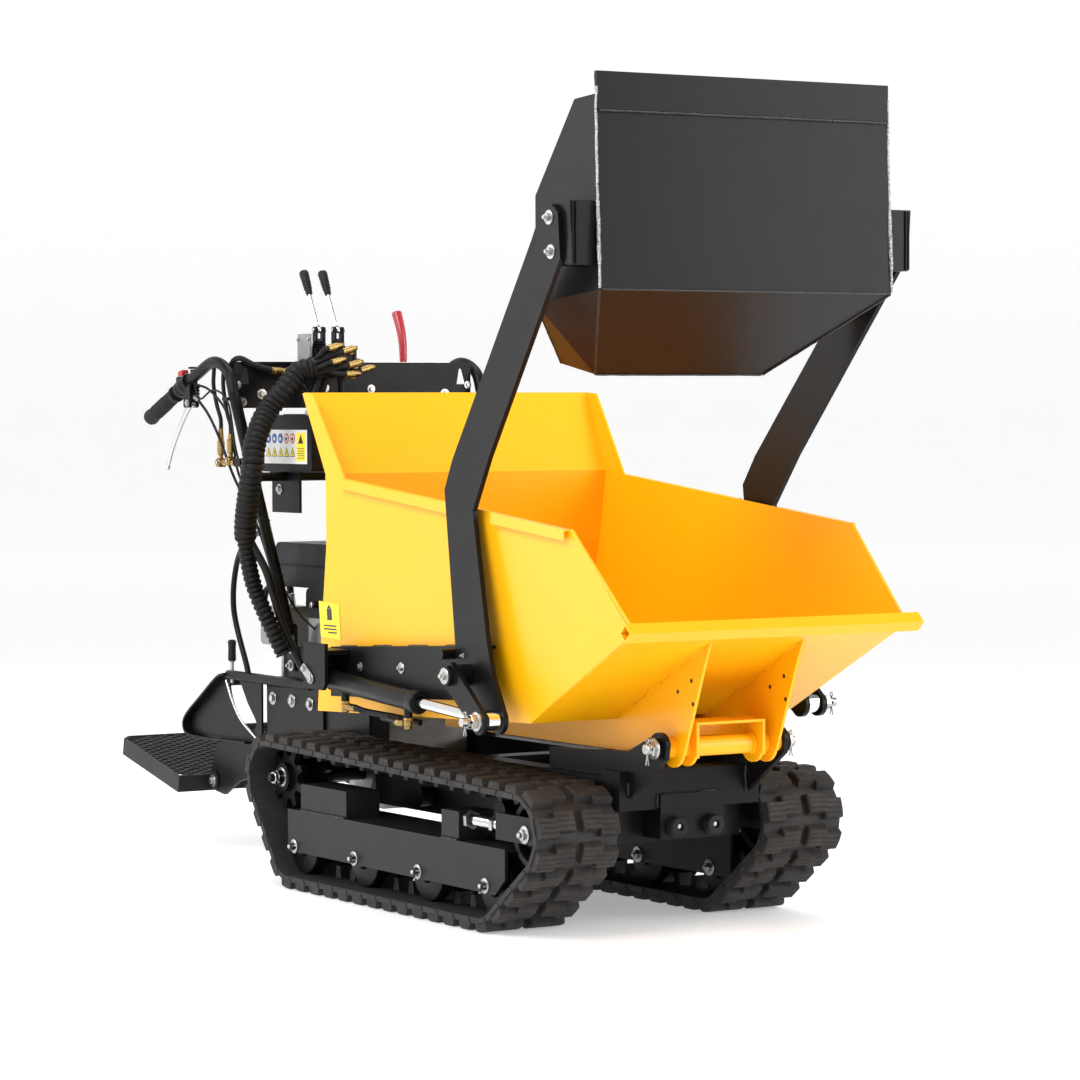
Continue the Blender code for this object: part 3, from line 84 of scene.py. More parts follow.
def ramp(tree, fac, stops):
    n = tree.nodes.new("ShaderNodeValToRGB")
    n.color_ramp.elements[0].position, n.color_ramp.elements[1].position = stops[0][0], stops[-1][0]
    n.color_ramp.elements[0].color, n.color_ramp.elements[1].color = (*stops[0][1], 1), (*stops[-1][1], 1)
    for position, colour in stops[1:-1]:
        n.color_ramp.elements.new(position).color = (*colour, 1)
    tree.links.new(fac, n.inputs["Fac"])
    return n.outputs["Color"]


def grey(v):
    return (v, v, v)


def finish_of(name, colour, rough, metal=0.0, coat=0.0, grain=(900, 0.05), vary=0.12, blotch=7.0, dust=None,
              rough_vary=0.1, coat_rough=0.1, spec=0.5):
    """A coat with fine grain in its bump, soft blotches in its tone and roughness, and dust if asked."""
    m, tree, p = shader(name, colour, rough, metal, coat, coat_rough)
    p.inputs["Specular IOR Level"].default_value = spec
    coords = tree.nodes.new("ShaderNodeTexCoord").outputs["Object"]
    broad = noise_of(tree, coords, blotch, 5.0)
    low = tuple(c * (1 - vary) for c in colour)
    high = tuple(min(1.0, c * (1 + vary)) for c in colour)
    tone = ramp(tree, broad, [(0.3, low), (0.7, high)])
    if dust:
        amount, tint = dust
        fine = noise_of(tree, coords, 38.0, 8.0, 0.75)
        mask = ramp(tree, fine, [(0.46, grey(0)), (0.74, grey(amount))])
        mix = tree.nodes.new("ShaderNodeMix")
        mix.data_type = "RGBA"
        tree.links.new(mask, mix.inputs["Factor"])
        tree.links.new(tone, mix.inputs["A"])
        mix.inputs["B"].default_value = (*tint, 1)
        tone = mix.outputs["Result"]
    tree.links.new(tone, p.inputs["Base Color"])
    patch = noise_of(tree, coords, 23.0, 6.0)
    sheen = ramp(tree, patch,
                 [(0.3, grey(max(0.02, rough - rough_vary))), (0.7, grey(min(1, rough + rough_vary)))])
    tree.links.new(sheen, p.inputs["Roughness"])
    bump = node(tree, "ShaderNodeBump", Strength=grain[1], Distance=0.001)
    tree.links.new(noise_of(tree, coords, grain[0], 3.0), bump.inputs["Height"])
    tree.links.new(bump.outputs["Normal"], p.inputs["Normal"])
    return m


YELLOW = finish_of("yellow_powder_coat", (1.0, 0.47, 0.002), 0.36, coat=0.12, grain=(420, 0.03), vary=0.02,
                   blotch=3.0, rough_vary=0.02, coat_rough=0.2, spec=0.35)
BLACK = finish_of("black_powder_coat", (0.0050, 0.0050, 0.0054), 0.36, grain=(650, 0.10), vary=0.1,
                  rough_vary=0.04, spec=0.16)
CHARCOAL = finish_of("charcoal_powder_coat", (0.0125, 0.0125, 0.0137), 0.42, grain=(650, 0.14), vary=0.08,
                     rough_vary=0.04, spec=0.20)
SHOVEL = finish_of("shovel_powder_coat", (0.0070, 0.0070, 0.0076), 0.36, grain=(620, 0.06), vary=0.04,
                   blotch=3.0, rough_vary=0.02, spec=0.15)
RUBBER = finish_of("track_rubber", (0.0095, 0.0090, 0.0088), 0.66, grain=(260, 0.35), vary=0.25, blotch=14,
                   dust=(0.35, (0.060, 0.045, 0.036)))
TREAD = finish_of("tread_tips", (0.0125, 0.0112, 0.0105), 0.72, grain=(330, 0.5), vary=0.25, blotch=18,
                  dust=(0.40, (0.070, 0.052, 0.041)))
SOFT = finish_of("soft_rubber", (0.009, 0.009, 0.009), 0.62, grain=(500, 0.3), vary=0.2, spec=0.25)
HOSE = finish_of("hose_rubber", (0.0085, 0.0085, 0.0085), 0.42, grain=(700, 0.2), vary=0.2, spec=0.22)
PLASTIC = finish_of("black_plastic", (0.007, 0.007, 0.0072), 0.40, grain=(1100, 0.2), vary=0.15, spec=0.22)
SLEEVE = finish_of("wrap_plastic", (0.006, 0.006, 0.0062), 0.44, grain=(900, 0.12), vary=0.2, spec=0.2)
RED = finish_of("red_plastic", (0.40, 0.012, 0.020), 0.32, coat=0.3, grain=(500, 0.08), vary=0.08)
ZINC = finish_of("zinc_plate", (0.44, 0.44, 0.43), 0.30, 1.0, grain=(900, 0.1), vary=0.12, blotch=60,
                 rough_vary=0.10)
STEEL = finish_of("bright_steel", (0.62, 0.62, 0.63), 0.20, 1.0, grain=(800, 0.06), vary=0.06, blotch=40,
                  rough_vary=0.06)
CHROME = finish_of("hard_chrome", (0.78, 0.78, 0.80), 0.08, 1.0, grain=(900, 0.02), vary=0.03,
                   rough_vary=0.03)
BRASS = finish_of("brass", (0.36, 0.245, 0.085), 0.30, 1.0, grain=(900, 0.08), vary=0.12, blotch=50,
                  rough_vary=0.08)
CAST = finish_of("cast_aluminium", (0.33, 0.33, 0.325), 0.46, 1.0, grain=(420, 0.4), vary=0.15, blotch=20)
WELD = finish_of("weld_bead", (0.020, 0.020, 0.021), 0.30, 0.35, grain=(300, 0.3), vary=0.4, blotch=120)
# Weld beads in bright metal, used on the shovel's corner seams as a painted highlight along those edges.
BRIGHT_WELD = finish_of("corner_weld_highlight", (0.62, 0.61, 0.59), 0.30, 0.9, grain=(420, 0.5), vary=0.7, blotch=260)
WHITE = finish_of("label_white", (0.75, 0.75, 0.73), 0.42, grain=(500, 0.03), vary=0.03)
LABEL_YELLOW = finish_of("label_yellow", (0.95, 0.74, 0.012), 0.40, grain=(500, 0.03), vary=0.03)
LABEL_BLUE = finish_of("label_blue", (0.01, 0.09, 0.36), 0.40, grain=(500, 0.03), vary=0.03)
LABEL_RED = finish_of("label_red", (0.55, 0.02, 0.02), 0.40, grain=(500, 0.03), vary=0.03)
# Black for label ink; also painted shade, as dark discs standing for the insides of the skip's rib holes.
BLACK_INK_AND_HOLE_SHADE = finish_of("black_ink_and_hole_shade", (0.01, 0.01, 0.01), 0.45, grain=(500, 0.03), vary=0.05)

BY_SLOT = {"yellow_paint": YELLOW, "black_paint": BLACK, "charcoal_paint": CHARCOAL, "track_rubber": RUBBER,
           "soft_rubber": SOFT, "black_plastic": PLASTIC, "red_plastic": RED, "hard_chrome": CHROME,
           "cast_aluminium": CAST}
SLOT_OF = {m.name: s for s, m in BY_SLOT.items()}
for part in frame["record"]["subparts"]:
    obj = frame["nodes"][part["node"]]
    obj.data.materials.clear()
    obj.data.materials.append(BY_SLOT[part["material_slot"]])
    obj.data.shade_smooth()
    obj.data.set_sharp_from_angle(angle=math.radians(32))
frame["nodes"]["shovel"].data.materials[0] = SHOVEL


# ---------------------------------------------------------------- mesh kit

class Kit:
    """One mesh that collects pieces of one material on one body."""

    def __init__(self, name, body, material):
        self.name, self.body, self.material = name, body, material
        self.v, self.f = [], []

    def add(self, points, faces):
        base = len(self.v)
        self.v += [tuple(p) for p in points]
        self.f += [tuple(base + i for i in f) for f in faces]

    def finish(self, angle=38, replaces=(), slot=None):
        mesh = bpy.data.meshes.new(self.name)
        mesh.from_pydata(self.v, [], self.f)
        mesh.update()
        obj = bpy.data.objects.new(self.name, mesh)
        bpy.context.scene.collection.objects.link(obj)
        mesh.materials.append(self.material)
        mesh.shade_smooth()
        mesh.set_sharp_from_angle(angle=math.radians(angle))
        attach(obj, self.body)
        if replaces:
            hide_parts(*replaces)
        return obj


KITS = {}


def kit(body, material, name=None):
    key = name or f"{body.replace('_body', '')}_{material.name}"
    if key not in KITS:
        KITS[key] = Kit(key, body, material)
    return KITS[key]


def axes_for(direction):
    d = Vector(direction).normalized()
    u = d.orthogonal().normalized() if abs(d.x) < 0.9 else d.cross(Vector((0, 0, 1))).normalized()
    return d, u, d.cross(u)


def lathe(k, origin, direction, profile, seg=28, phase=0.0, closed=False):
    """Turn (distance, radius) pairs about an axis; the first and last are capped unless closed."""
    d, u, w = axes_for(direction)
    o = Vector(origin)
    pts, faces = [], []
    n = len(profile)
    for i in range(seg):
        a = phase + 2 * math.pi * i / seg
        spoke = u * math.cos(a) + w * math.sin(a)
        pts += [o + d * x + spoke * r for x, r in profile]
    for i in range(seg):
        a, b = i * n, (i + 1) % seg * n
        for j in range(n if closed else n - 1):
            faces.append((a + j, b + j, b + (j + 1) % n, a + (j + 1) % n))
    if not closed:
        faces.append(tuple(i * n for i in range(seg))[::-1])
        faces.append(tuple(i * n + n - 1 for i in range(seg)))
    k.add(pts, faces)


def tube(k, path, r, seg=14, caps=True):
    path = [Vector(p) for p in path]
    radii = r if isinstance(r, (list, tuple)) else [r] * len(path)
    u = (path[1] - path[0]).normalized().orthogonal().normalized()
    pts = []
    n = len(path)
    for i, (p, rad) in enumerate(zip(path, radii)):
        t = (path[min(i + 1, n - 1)] - path[max(i - 1, 0)]).normalized()
        u = (u - u.dot(t) * t).normalized()
        w = t.cross(u)
        pts += [p + (u * math.cos(2 * math.pi * j / seg) + w * math.sin(2 * math.pi * j / seg)) * rad
                for j in range(seg)]
    faces = [(i * seg + j, i * seg + (j + 1) % seg, (i + 1) * seg + (j + 1) % seg, (i + 1) * seg + j)
             for i in range(n - 1) for j in range(seg)]
    if caps:
        faces += [tuple(range(seg))[::-1], tuple(range((n - 1) * seg, n * seg))]
    k.add(pts, faces)


def curve(points, step=0.008):
    """Catmull-Rom curve through the points, sampled about every step metres."""
    p = [Vector(q) for q in points]
    p = [2 * p[0] - p[1]] + p + [2 * p[-1] - p[-2]]
    out = []
    for i in range(1, len(p) - 2):
        n = max(1, int((p[i + 1] - p[i]).length / step))
        for s in range(n):
            t = s / n
            out.append(0.5 * (2 * p[i] + (p[i + 1] - p[i - 1]) * t
                              + (2 * p[i - 1] - 5 * p[i] + 4 * p[i + 1] - p[i + 2]) * t * t
                              + (3 * p[i] - p[i - 1] - 3 * p[i + 1] + p[i + 2]) * t ** 3))
    return out + [p[-2]]


def block(k, lo, hi, c=0.0015, spin=None):
    """A box with chamfered, rounded edges."""
    bm = bmesh.new()
    bmesh.ops.create_cube(bm, size=1)
    lo, hi = Vector(lo), Vector(hi)
    size, mid = hi - lo, (hi + lo) / 2
    for v in bm.verts:
        v.co = Vector((v.co.x * size.x, v.co.y * size.y, v.co.z * size.z)) + mid
    if c > 0:
        bmesh.ops.bevel(bm, geom=bm.edges[:], offset=min(c, min(size) * 0.45), segments=2, affect="EDGES")
    if spin is not None:
        bmesh.ops.transform(bm, matrix=spin, verts=bm.verts)
    bm.verts.ensure_lookup_table()
    k.add([v.co.copy() for v in bm.verts], [tuple(v.index for v in f.verts) for f in bm.faces])
    bm.free()


def plate(k, outline, x0, x1, c=0.0012):
    """A plate in the YZ plane between two X values, with softened edges."""
    area = sum(a[0] * b[1] - b[0] * a[1] for a, b in zip(outline, outline[1:] + outline[:1]))
    ring = list(outline) if area > 0 else list(outline)[::-1]
    x0, x1 = sorted((x0, x1))
    bm = bmesh.new()
    low = [bm.verts.new(V(x0, y, z)) for y, z in ring]
    high = [bm.verts.new(V(x1, y, z)) for y, z in ring]
    bm.faces.new(low[::-1])
    bm.faces.new(high)
    for i in range(len(ring)):
        j = (i + 1) % len(ring)
        bm.faces.new((low[i], low[j], high[j], high[i]))
    if c > 0:
        edges = [e for e in bm.edges if abs(e.verts[0].co.x - e.verts[1].co.x) < 1e-6]
        bmesh.ops.bevel(bm, geom=edges, offset=c, segments=1, affect="EDGES")
    bm.verts.index_update()
    k.add([v.co.copy() for v in bm.verts], [tuple(v.index for v in f.verts) for f in bm.faces])
    bm.free()


def bolt(k, at, out, r=0.008, h=0.0065, washer=True, phase=0.0, stud=0.0):
    """Hex head on a washer, its underside at a point, standing out along a direction."""
    base = 0.0
    if washer:
        lathe(k, at, out, [(-0.001, r * 1.05), (-0.001, r * 1.72), (0.0012, r * 1.75), (0.0020, r * 1.66),
                           (0.0022, r * 1.05)], 26)
        base = 0.002
    lathe(k, at, out, [(base, r * 0.98), (base + h * 0.85, r), (base + h, r * 0.84)], 6, phase)
    if stud:
        lathe(k, at, out, [(base + h - 0.001, r * 0.50), (base + h + stud - 0.001, r * 0.50),
                           (base + h + stud, r * 0.40)], 16)


def ball(k, centre, r, seg):
    profile = [(r * (1 - math.cos(a)), max(0.0004, r * math.sin(a)))
               for a in (math.pi * i / 12 for i in range(13))]
    lathe(k, Vector(centre) - Vector((0, 0, r)), (0, 0, 1), profile, seg)


def weld(k, path, r=0.003, pitch=0.0045):
    """A rippled bead along a path."""
    path = curve(path, 0.0011) if len(path) > 2 else line(path[0], path[1], 0.0011)
    s, radii, points = 0.0, [], []
    for i, p in enumerate(path):
        s += (p - path[i - 1]).length if i else 0
        radii.append(r * (0.78 + 0.30 * abs(math.sin(math.pi * s / pitch)) + 0.18 * noise.noise(p * 90)))
        points.append(p + Vector(noise.noise_vector(p * 60)) * r * 0.25)
    tube(k, points, radii, 7)


def line(a, b, step):
    a, b = Vector(a), Vector(b)
    n = max(1, int((b - a).length / step))
    return [a.lerp(b, i / n) for i in range(n + 1)]


def hose(path, r=0.008, body="chassis", ends=(True, True), step=0.008, fitting=ZINC):
    """A rubber hose with crimped ferrules and nuts at the ends that show."""
    pts = curve(path, step)
    tube(kit(body, HOSE), pts, r, 14)
    for show, p, q in ((ends[0], pts[0], pts[1]), (ends[1], pts[-1], pts[-2])):
        if show:
            d = (q - p).normalized()
            z = kit(body, fitting)
            lathe(z, p - d * 0.012, d, [(0, r * 0.7), (0, r * 1.25), (0.008, r * 1.25), (0.010, r * 1.0)], 6)
            lathe(z, p - d * 0.003, d,
                  [(0, r * 1.0), (0.002, r * 1.28), (0.006, r * 1.28), (0.0068, r * 1.18),
                   (0.008, r * 1.28), (0.012, r * 1.28), (0.0128, r * 1.18), (0.014, r * 1.28),
                   (0.020, r * 1.28), (0.022, r * 1.02)], 20)


SIDE = {-1: "right", 1: "left"}

# ---------------------------------------------------------------- tracks

IDLER, SPROCKET = (0.092, 0.198, 0.067), (1.096, 0.223, 0.067)
ROLLER_Y = [0.229, 0.486, 0.743, 1.000]
ROLLER_Z, ROLLER_R = 0.088, 0.060
BELT_X, CORE = 0.259, 0.012


BOX_FACES = [(0, 3, 2, 1), (4, 5, 6, 7), (0, 1, 5, 4), (1, 2, 6, 5), (2, 3, 7, 6), (3, 0, 4, 7)]


def belt_line(offset):
    wheels = [(ROLLER_Y[0], ROLLER_Z, ROLLER_R + offset), (ROLLER_Y[-1], ROLLER_Z, ROLLER_R + offset),
              (SPROCKET[0], SPROCKET[1], SPROCKET[2] + offset), (IDLER[0], IDLER[1], IDLER[2] + offset)]
    normals = []
    for (ya, za, ra), (yb, zb, rb) in zip(wheels, wheels[1:] + wheels[:1]):
        normals.append(math.atan2(zb - za, yb - ya) - math.acos((ra - rb) / math.hypot(yb - ya, zb - za)))
    out = []
    for i, (y, z, r) in enumerate(wheels):
        a, b = normals[i - 1], normals[i]
        while b < a:
            b += 2 * math.pi
        out.append(("arc", (y, z, r, a, b), r * (b - a)))
        yb, zb, rb = wheels[(i + 1) % 4]
        p = (y + r * math.cos(b), z + r * math.sin(b))
        q = (yb + rb * math.cos(b), zb + rb * math.sin(b))
        out.append(("run", (p, q, b), math.hypot(q[0] - p[0], q[1] - p[1])))
    return out


MID_LINE = belt_line(CORE)
LENGTH = sum(x[2] for x in MID_LINE)
LINKS = round(LENGTH / 0.060)
PITCH = LENGTH / LINKS


def on_belt(s):
    s %= LENGTH
    for kind, data, length in MID_LINE:
        if s <= length:
            break
        s -= length
    if kind == "arc":
        y, z, r, a, b = data
        t = a + (b - a) * s / length
        return y + r * math.cos(t), z + r * math.sin(t), t
    p, q, t = data
    k = s / length
    return p[0] + (q[0] - p[0]) * k, p[1] + (q[1] - p[1]) * k, t


def belt_point(s, h, x):
    y, z, t = on_belt(s)
    return V(x, y + h * math.cos(t), z + h * math.sin(t))


def tread_block(k, s0, x0, x1, profile, taper=0.003):
    """A tread block over a stretch of belt: a (distance, height) profile drawn out across the belt."""
    n = len(profile)
    pts = []
    for i, x in enumerate((x0, x0 + taper, x1 - taper, x1)):
        for ds, h in profile:
            lift = h if i in (1, 2) else min(h, 0.013)
            pts.append(belt_point(s0 + ds, lift, x))
    faces = [(r * n + j, r * n + j + 1, (r + 1) * n + j + 1, (r + 1) * n + j) for r in range(3)
             for j in range(n - 1)]
    faces = [f[::-1] for f in faces]
    faces += [tuple(range(n)), tuple(range(3 * n, 4 * n))[::-1]]
    k.add(pts, faces)


def make_belt(side):
    c = BELT_X * side
    core = Kit(f"belt_{SIDE[side]}", "chassis", RUBBER)
    count = LINKS * 4
    section = [(-0.090, -0.0115), (-0.088, -0.012), (0.088, -0.012), (0.090, -0.0115), (0.090, -0.0005),
               (0.0885, 0.0), (-0.0885, 0.0), (-0.090, -0.0005)]
    n = len(section)
    pts = [belt_point(LENGTH * i / count, h, c + x) for i in range(count) for x, h in section]
    core.add(pts, [(i * n + j, i * n + (j + 1) % n, (i + 1) % count * n + (j + 1) % n,
                    (i + 1) % count * n + j) for i in range(count) for j in range(n)])
    for i in range(LINKS):
        s0 = (i + 0.5) * PITCH
        mid = (i + 1.0) * PITCH
        ring = [(-0.012, -0.010), (0.012, -0.010), (0.007, -0.0365), (-0.007, -0.0365)]
        pts = [belt_point(mid + ds, h, c + x) for x in (-0.017, 0.017) for ds, h in ring]
        core.add(pts, BOX_FACES)
        for e in (-1, 1):
            x = c + 0.0895 * e
            ring = [(-0.019, -0.0005), (0.019, -0.0005), (0.014, -0.010), (-0.014, -0.010)]
            pts = [belt_point(s0 + ds, h, x + w) for w in (-0.002, 0.0012) for ds, h in ring]
            core.add(pts, BOX_FACES)
    core.finish(40, [f"track_belt_{SIDE[side]}"], "track_rubber")
    tips = Kit(f"tread_{SIDE[side]}", "chassis", TREAD)
    grooved = [(-0.0215, -0.001), (-0.0165, 0.0135), (-0.0150, 0.0158), (-0.0100, 0.0158),
               (-0.0090, 0.0144), (-0.0075, 0.0144), (-0.0065, 0.0158), (-0.0015, 0.0158),
               (-0.0007, 0.0144), (0.0007, 0.0144), (0.0015, 0.0158), (0.0065, 0.0158), (0.0075, 0.0144),
               (0.0090, 0.0144), (0.0100, 0.0158), (0.0150, 0.0158), (0.0165, 0.0135), (0.0215, -0.001)]
    for i in range(LINKS):
        s0 = (i + 0.5) * PITCH
        for e in (-1, 1):
            for shift, a, b in ((0.0045, 0.0885, 0.046), (-0.0055, 0.052, 0.009)):
                tread_block(tips, s0 + shift, *sorted((c + a * e, c + b * e)), grooved)
    tips.finish(30, slot="track_rubber")


def make_wheels(side):
    c = BELT_X * side
    name = SIDE[side]
    for i, y in enumerate(ROLLER_Y):
        k = Kit(f"roller_look_{name}_{i + 1}", f"roller_{name}_{i + 1}_body", BLACK)
        profile = [(-0.058, 0.0105), (-0.058, 0.019), (-0.055, 0.021), (-0.050, 0.024), (-0.0485, 0.050),
                   (-0.0475, 0.0575), (-0.045, 0.0592), (-0.026, 0.0592), (-0.0225, 0.0570),
                   (-0.0215, 0.031), (0.0215, 0.031), (0.0225, 0.0570), (0.026, 0.0592), (0.045, 0.0592),
                   (0.0475, 0.0575), (0.0485, 0.050), (0.050, 0.024), (0.055, 0.021), (0.058, 0.019),
                   (0.058, 0.0105)]
        lathe(k, V(c, y, ROLLER_Z), (1, 0, 0), profile, 40, closed=True)
        k.finish(35, [f"roller_{name}_{i + 1}"], "black_paint")
    k = Kit(f"idler_look_{name}", f"idler_{name}", BLACK)
    profile = [(-0.055, 0.0105), (-0.055, 0.022), (-0.050, 0.024), (-0.036, 0.026), (-0.034, 0.050),
               (-0.0515, 0.054), (-0.0525, 0.0640), (-0.050, 0.0662), (-0.026, 0.0662), (-0.0225, 0.064),
               (-0.0215, 0.038), (0.0215, 0.038), (0.0225, 0.064), (0.026, 0.0662), (0.050, 0.0662),
               (0.0525, 0.0640), (0.0515, 0.054), (0.034, 0.050), (0.036, 0.026), (0.050, 0.024),
               (0.055, 0.022), (0.055, 0.0105)]
    lathe(k, V(c, IDLER[0], IDLER[1]), (1, 0, 0), profile, 52, closed=True)
    k.finish(35, [f"idler_wheel_{name}"], "black_paint")
    sprocket = f"sprocket_{name}"
    z = kit(sprocket, ZINC)
    o = V(c + 0.048 * side, *SPROCKET[:2])
    out = (side, 0, 0)
    lathe(z, o, out, [(-0.001, 0.010), (-0.001, 0.021), (0.0022, 0.021), (0.003, 0.0195), (0.003, 0.010)], 36)
    lathe(z, o, out, [(0.003, 0.0165), (0.0135, 0.0165), (0.0148, 0.0150), (0.0150, 0.009)], 6, 0.3)
    lathe(z, o, out, [(0.014, 0.0135), (0.021, 0.0135), (0.0225, 0.012), (0.0225, 0.006)], 24)
    b = kit(sprocket, BLACK)
    lathe(b, o, out, [(0.018, 0.0085), (0.029, 0.0085), (0.0305, 0.0070)], 20)
    tube(z, [V(c + 0.0660 * side, SPROCKET[0] + a, SPROCKET[1] + a * 0.3) for a in (-0.019, 0.0, 0.021)],
         0.0016, 8)


def make_track_frame(side):
    z = kit("chassis", ZINC)
    x = 0.330 * side
    out = (side, 0, 0)
    for i, y in enumerate(ROLLER_Y):
        lathe(z, V(x, y, ROLLER_Z), out,
              [(-0.001, 0.008), (-0.001, 0.0150), (0.0020, 0.0150), (0.0026, 0.0140), (0.0026, 0.008)], 30)
        bolt(z, V(x + 0.002 * side, y, ROLLER_Z), out, 0.0098, 0.0075, False, 0.4 * i, 0.005)
        xi = 0.188 * side
        bolt(z, V(xi - 0.0005 * side, y, ROLLER_Z), (-side, 0, 0), 0.0098, 0.0075, True, 0.2 * i, 0.004)
    lathe(z, V(0.3252 * side, IDLER[0], IDLER[1]), out,
          [(-0.001, 0.008), (-0.001, 0.0170), (0.0020, 0.0170), (0.0026, 0.0158), (0.0026, 0.008)], 30)
    bolt(z, V(0.3272 * side, IDLER[0], IDLER[1]), out, 0.0112, 0.008, False, 0.3, 0.006)
    rod_x = (BELT_X + 0.045) * side
    lathe(kit("chassis", STEEL), V(rod_x, 0.206, 0.204), (0, 1, 0),
          [(0, 0.0090)] + [(0.0016 * i + 0.0004 * j, 0.0105 if j % 2 else 0.0116) for i in range(60)
                           for j in range(2)] + [(0.120, 0.0090)], 18)
    for y in (0.222, 0.316):
        lathe(z, V(rod_x, y, 0.204), (0, 1, 0),
              [(0, 0.012), (0, 0.0185), (0.011, 0.0185), (0.0125, 0.0165), (0.0125, 0.012)], 6, 0.2)
    for y0, y1 in ((0.336, 0.398), (0.786, 0.975)):
        weld(kit("chassis", WELD), [V(0.3285 * side, y, 0.1655) for y in (y0, y1)], 0.0022)
    for y in (0.83, 0.93):
        lathe(kit("chassis", BLACK_INK_AND_HOLE_SHADE), V(0.3256 * side, y, 0.198), out,
              [(-0.001, 0.002), (-0.001, 0.0065), (0.0003, 0.0065), (0.0003, 0.002)], 20)


for s in (-1, 1):
    make_belt(s)
    make_wheels(s)
    make_track_frame(s)

# ---------------------------------------------------------------- places shared by the pieces below

TIP = (-0.081, 0.364)
ARM_PIVOT = (0.248, 0.491)
CLEVIS = (0.143, 0.411)
ANCHOR = (0.790, 0.453)
TIP_BASE, TIP_EYE = (0.560, 0.215), (0.150, 0.356)
LIFT_X = 0.370
LIP = (-0.261, 0.594)


def on_side(side, x, y, z):
    """A point laid out on the -X side, carried to the given side."""
    return V(-x * side, y, z)


def block_on(k, side, x0, x1, y0, y1, z0, z1, c=0.0015):
    a, b = on_side(side, x0, y0, z0), on_side(side, x1, y1, z1)
    block(k, [min(p, q) for p, q in zip(a, b)], [max(p, q) for p, q in zip(a, b)], c)


def wall_x(y, z):
    """Outer face of the skip's leaning side wall."""
    return 0.2740 + 0.0159 * y + 0.0622 * z


def wall_point(side, y, z, lift=0.0):
    return on_side(side, -wall_x(y, z) - lift, y, z)


def floor_z(y):
    """Underside of the skip's ramp and floor."""
    if y < 0.110:
        return 0.405 + (0.110 - y) * 0.5097
    return 0.405 - (y - 0.110) * 0.0367


def slab(k, corners, thickness):
    """A thin panel from its corners, given round its outward face."""
    n = len(corners)
    normal = (corners[1] - corners[0]).cross(corners[2] - corners[0]).normalized()
    points = list(corners) + [p - normal * thickness for p in corners]
    faces = [tuple(range(n)), tuple(range(n, 2 * n))[::-1]]
    faces += [(i + n, (i + 1) % n + n, (i + 1) % n, i) for i in range(n)]
    k.add(points, faces)


def cotter(k, at, down=0.030):
    """Split pin through a stud: an eye above and two bent legs below."""
    p = Vector(at)
    for dy in (-0.002, 0.002):
        tube(k, [p + Vector((0, dy * 0.4, 0.012)), p + Vector((0, dy * 0.4, -0.010)),
                 p + Vector((0, dy, -down * 0.6)), p + Vector((0, dy * 2.4, -down))], 0.0012, 8)
    ring = [p + Vector((0, 0.0040 * math.sin(a), 0.0155 - 0.0040 * math.cos(a)))
            for a in (math.radians(30 * i) for i in range(13))]
    tube(k, ring, 0.0012, 8)


# ---------------------------------------------------------------- skip

def make_skip_trim():
    bead = kit("skip", YELLOW)
    for side in (-1, 1):
        edge = [wall_point(side, y, z, -0.002) for y, z in ((-0.250, 0.598), (-0.067, 0.774))]
        tube(bead, edge, 0.0034, 12)
        for x, e in ((-0.1085, -1), (-0.1015, 1)):
            for a, b in ((0.02, 0.15), (0.27, 0.38), (0.50, 0.66), (0.80, 0.95)):
                ends = []
                for t in (a, b):
                    y = -0.196 + 0.300 * t
                    ends.append(on_side(side, x + 0.0012 * e, y, floor_z(y) - 0.0018))
                weld(bead, ends, 0.0023, 0.006)
        for a, b in ((0.115, 0.150), (0.200, 0.232), (0.285, 0.318)):
            weld(bead, [on_side(side, -a, LIP[0] + 0.0115, LIP[1] - 0.0125),
                        on_side(side, -b, LIP[0] + 0.0115, LIP[1] - 0.0125)], 0.0026, 0.006)
        weld(bead, [wall_point(side, -0.238, 0.585, 0.0005), wall_point(side, 0.075, 0.4255, 0.0005)],
             0.0016, 0.007)
        # Painted shade: black discs on the rib stand in for the shade inside its small holes.
        hole_shade = kit("skip", BLACK_INK_AND_HOLE_SHADE)
        for y, z in ((-0.150, 0.450), (-0.100, 0.470), (-0.145, 0.493)):
            lathe(hole_shade, on_side(side, -0.1083, y, z), (-side, 0, 0),
                  [(0, 0.0015), (0, 0.0042), (0.0066, 0.0042), (0.0066, 0.0015)], 24)
        lathe(bead, on_side(side, -0.0645, *TIP), (side, 0, 0),
              [(0, 0.018), (0, 0.0215), (0.0065, 0.0215), (0.0080, 0.0188)], 32)
        lathe(bead, on_side(side, -0.0865, *TIP), (side, 0, 0),
              [(0, 0.018), (0, 0.0205), (0.0140, 0.0205), (0.0155, 0.0188)], 32)
    label = kit("skip", LABEL_YELLOW)
    corners = ((0.893, 0.531), (0.893, 0.604), (0.811, 0.600), (0.811, 0.527))
    slab(label, [wall_point(-1, y, z, 0.0006) for y, z in corners], 0.0005)
    ink = kit("skip", BLACK_INK_AND_HOLE_SHADE)
    for y0, y1, z0, z1 in ((0.842, 0.862, 0.566, 0.589), (0.826, 0.878, 0.553, 0.556),
                           (0.826, 0.878, 0.546, 0.549), (0.826, 0.862, 0.539, 0.542)):
        slab(ink, [wall_point(-1, y, z, 0.0009) for y, z in ((y0, z0), (y0, z1), (y1, z1), (y1, z0))][::-1],
             0.0004)
    corners = ((0.861, 0.5895), (0.852, 0.5985), (0.843, 0.5895))
    slab(ink, [wall_point(-1, y, z, 0.0009) for y, z in corners], 0.0004)


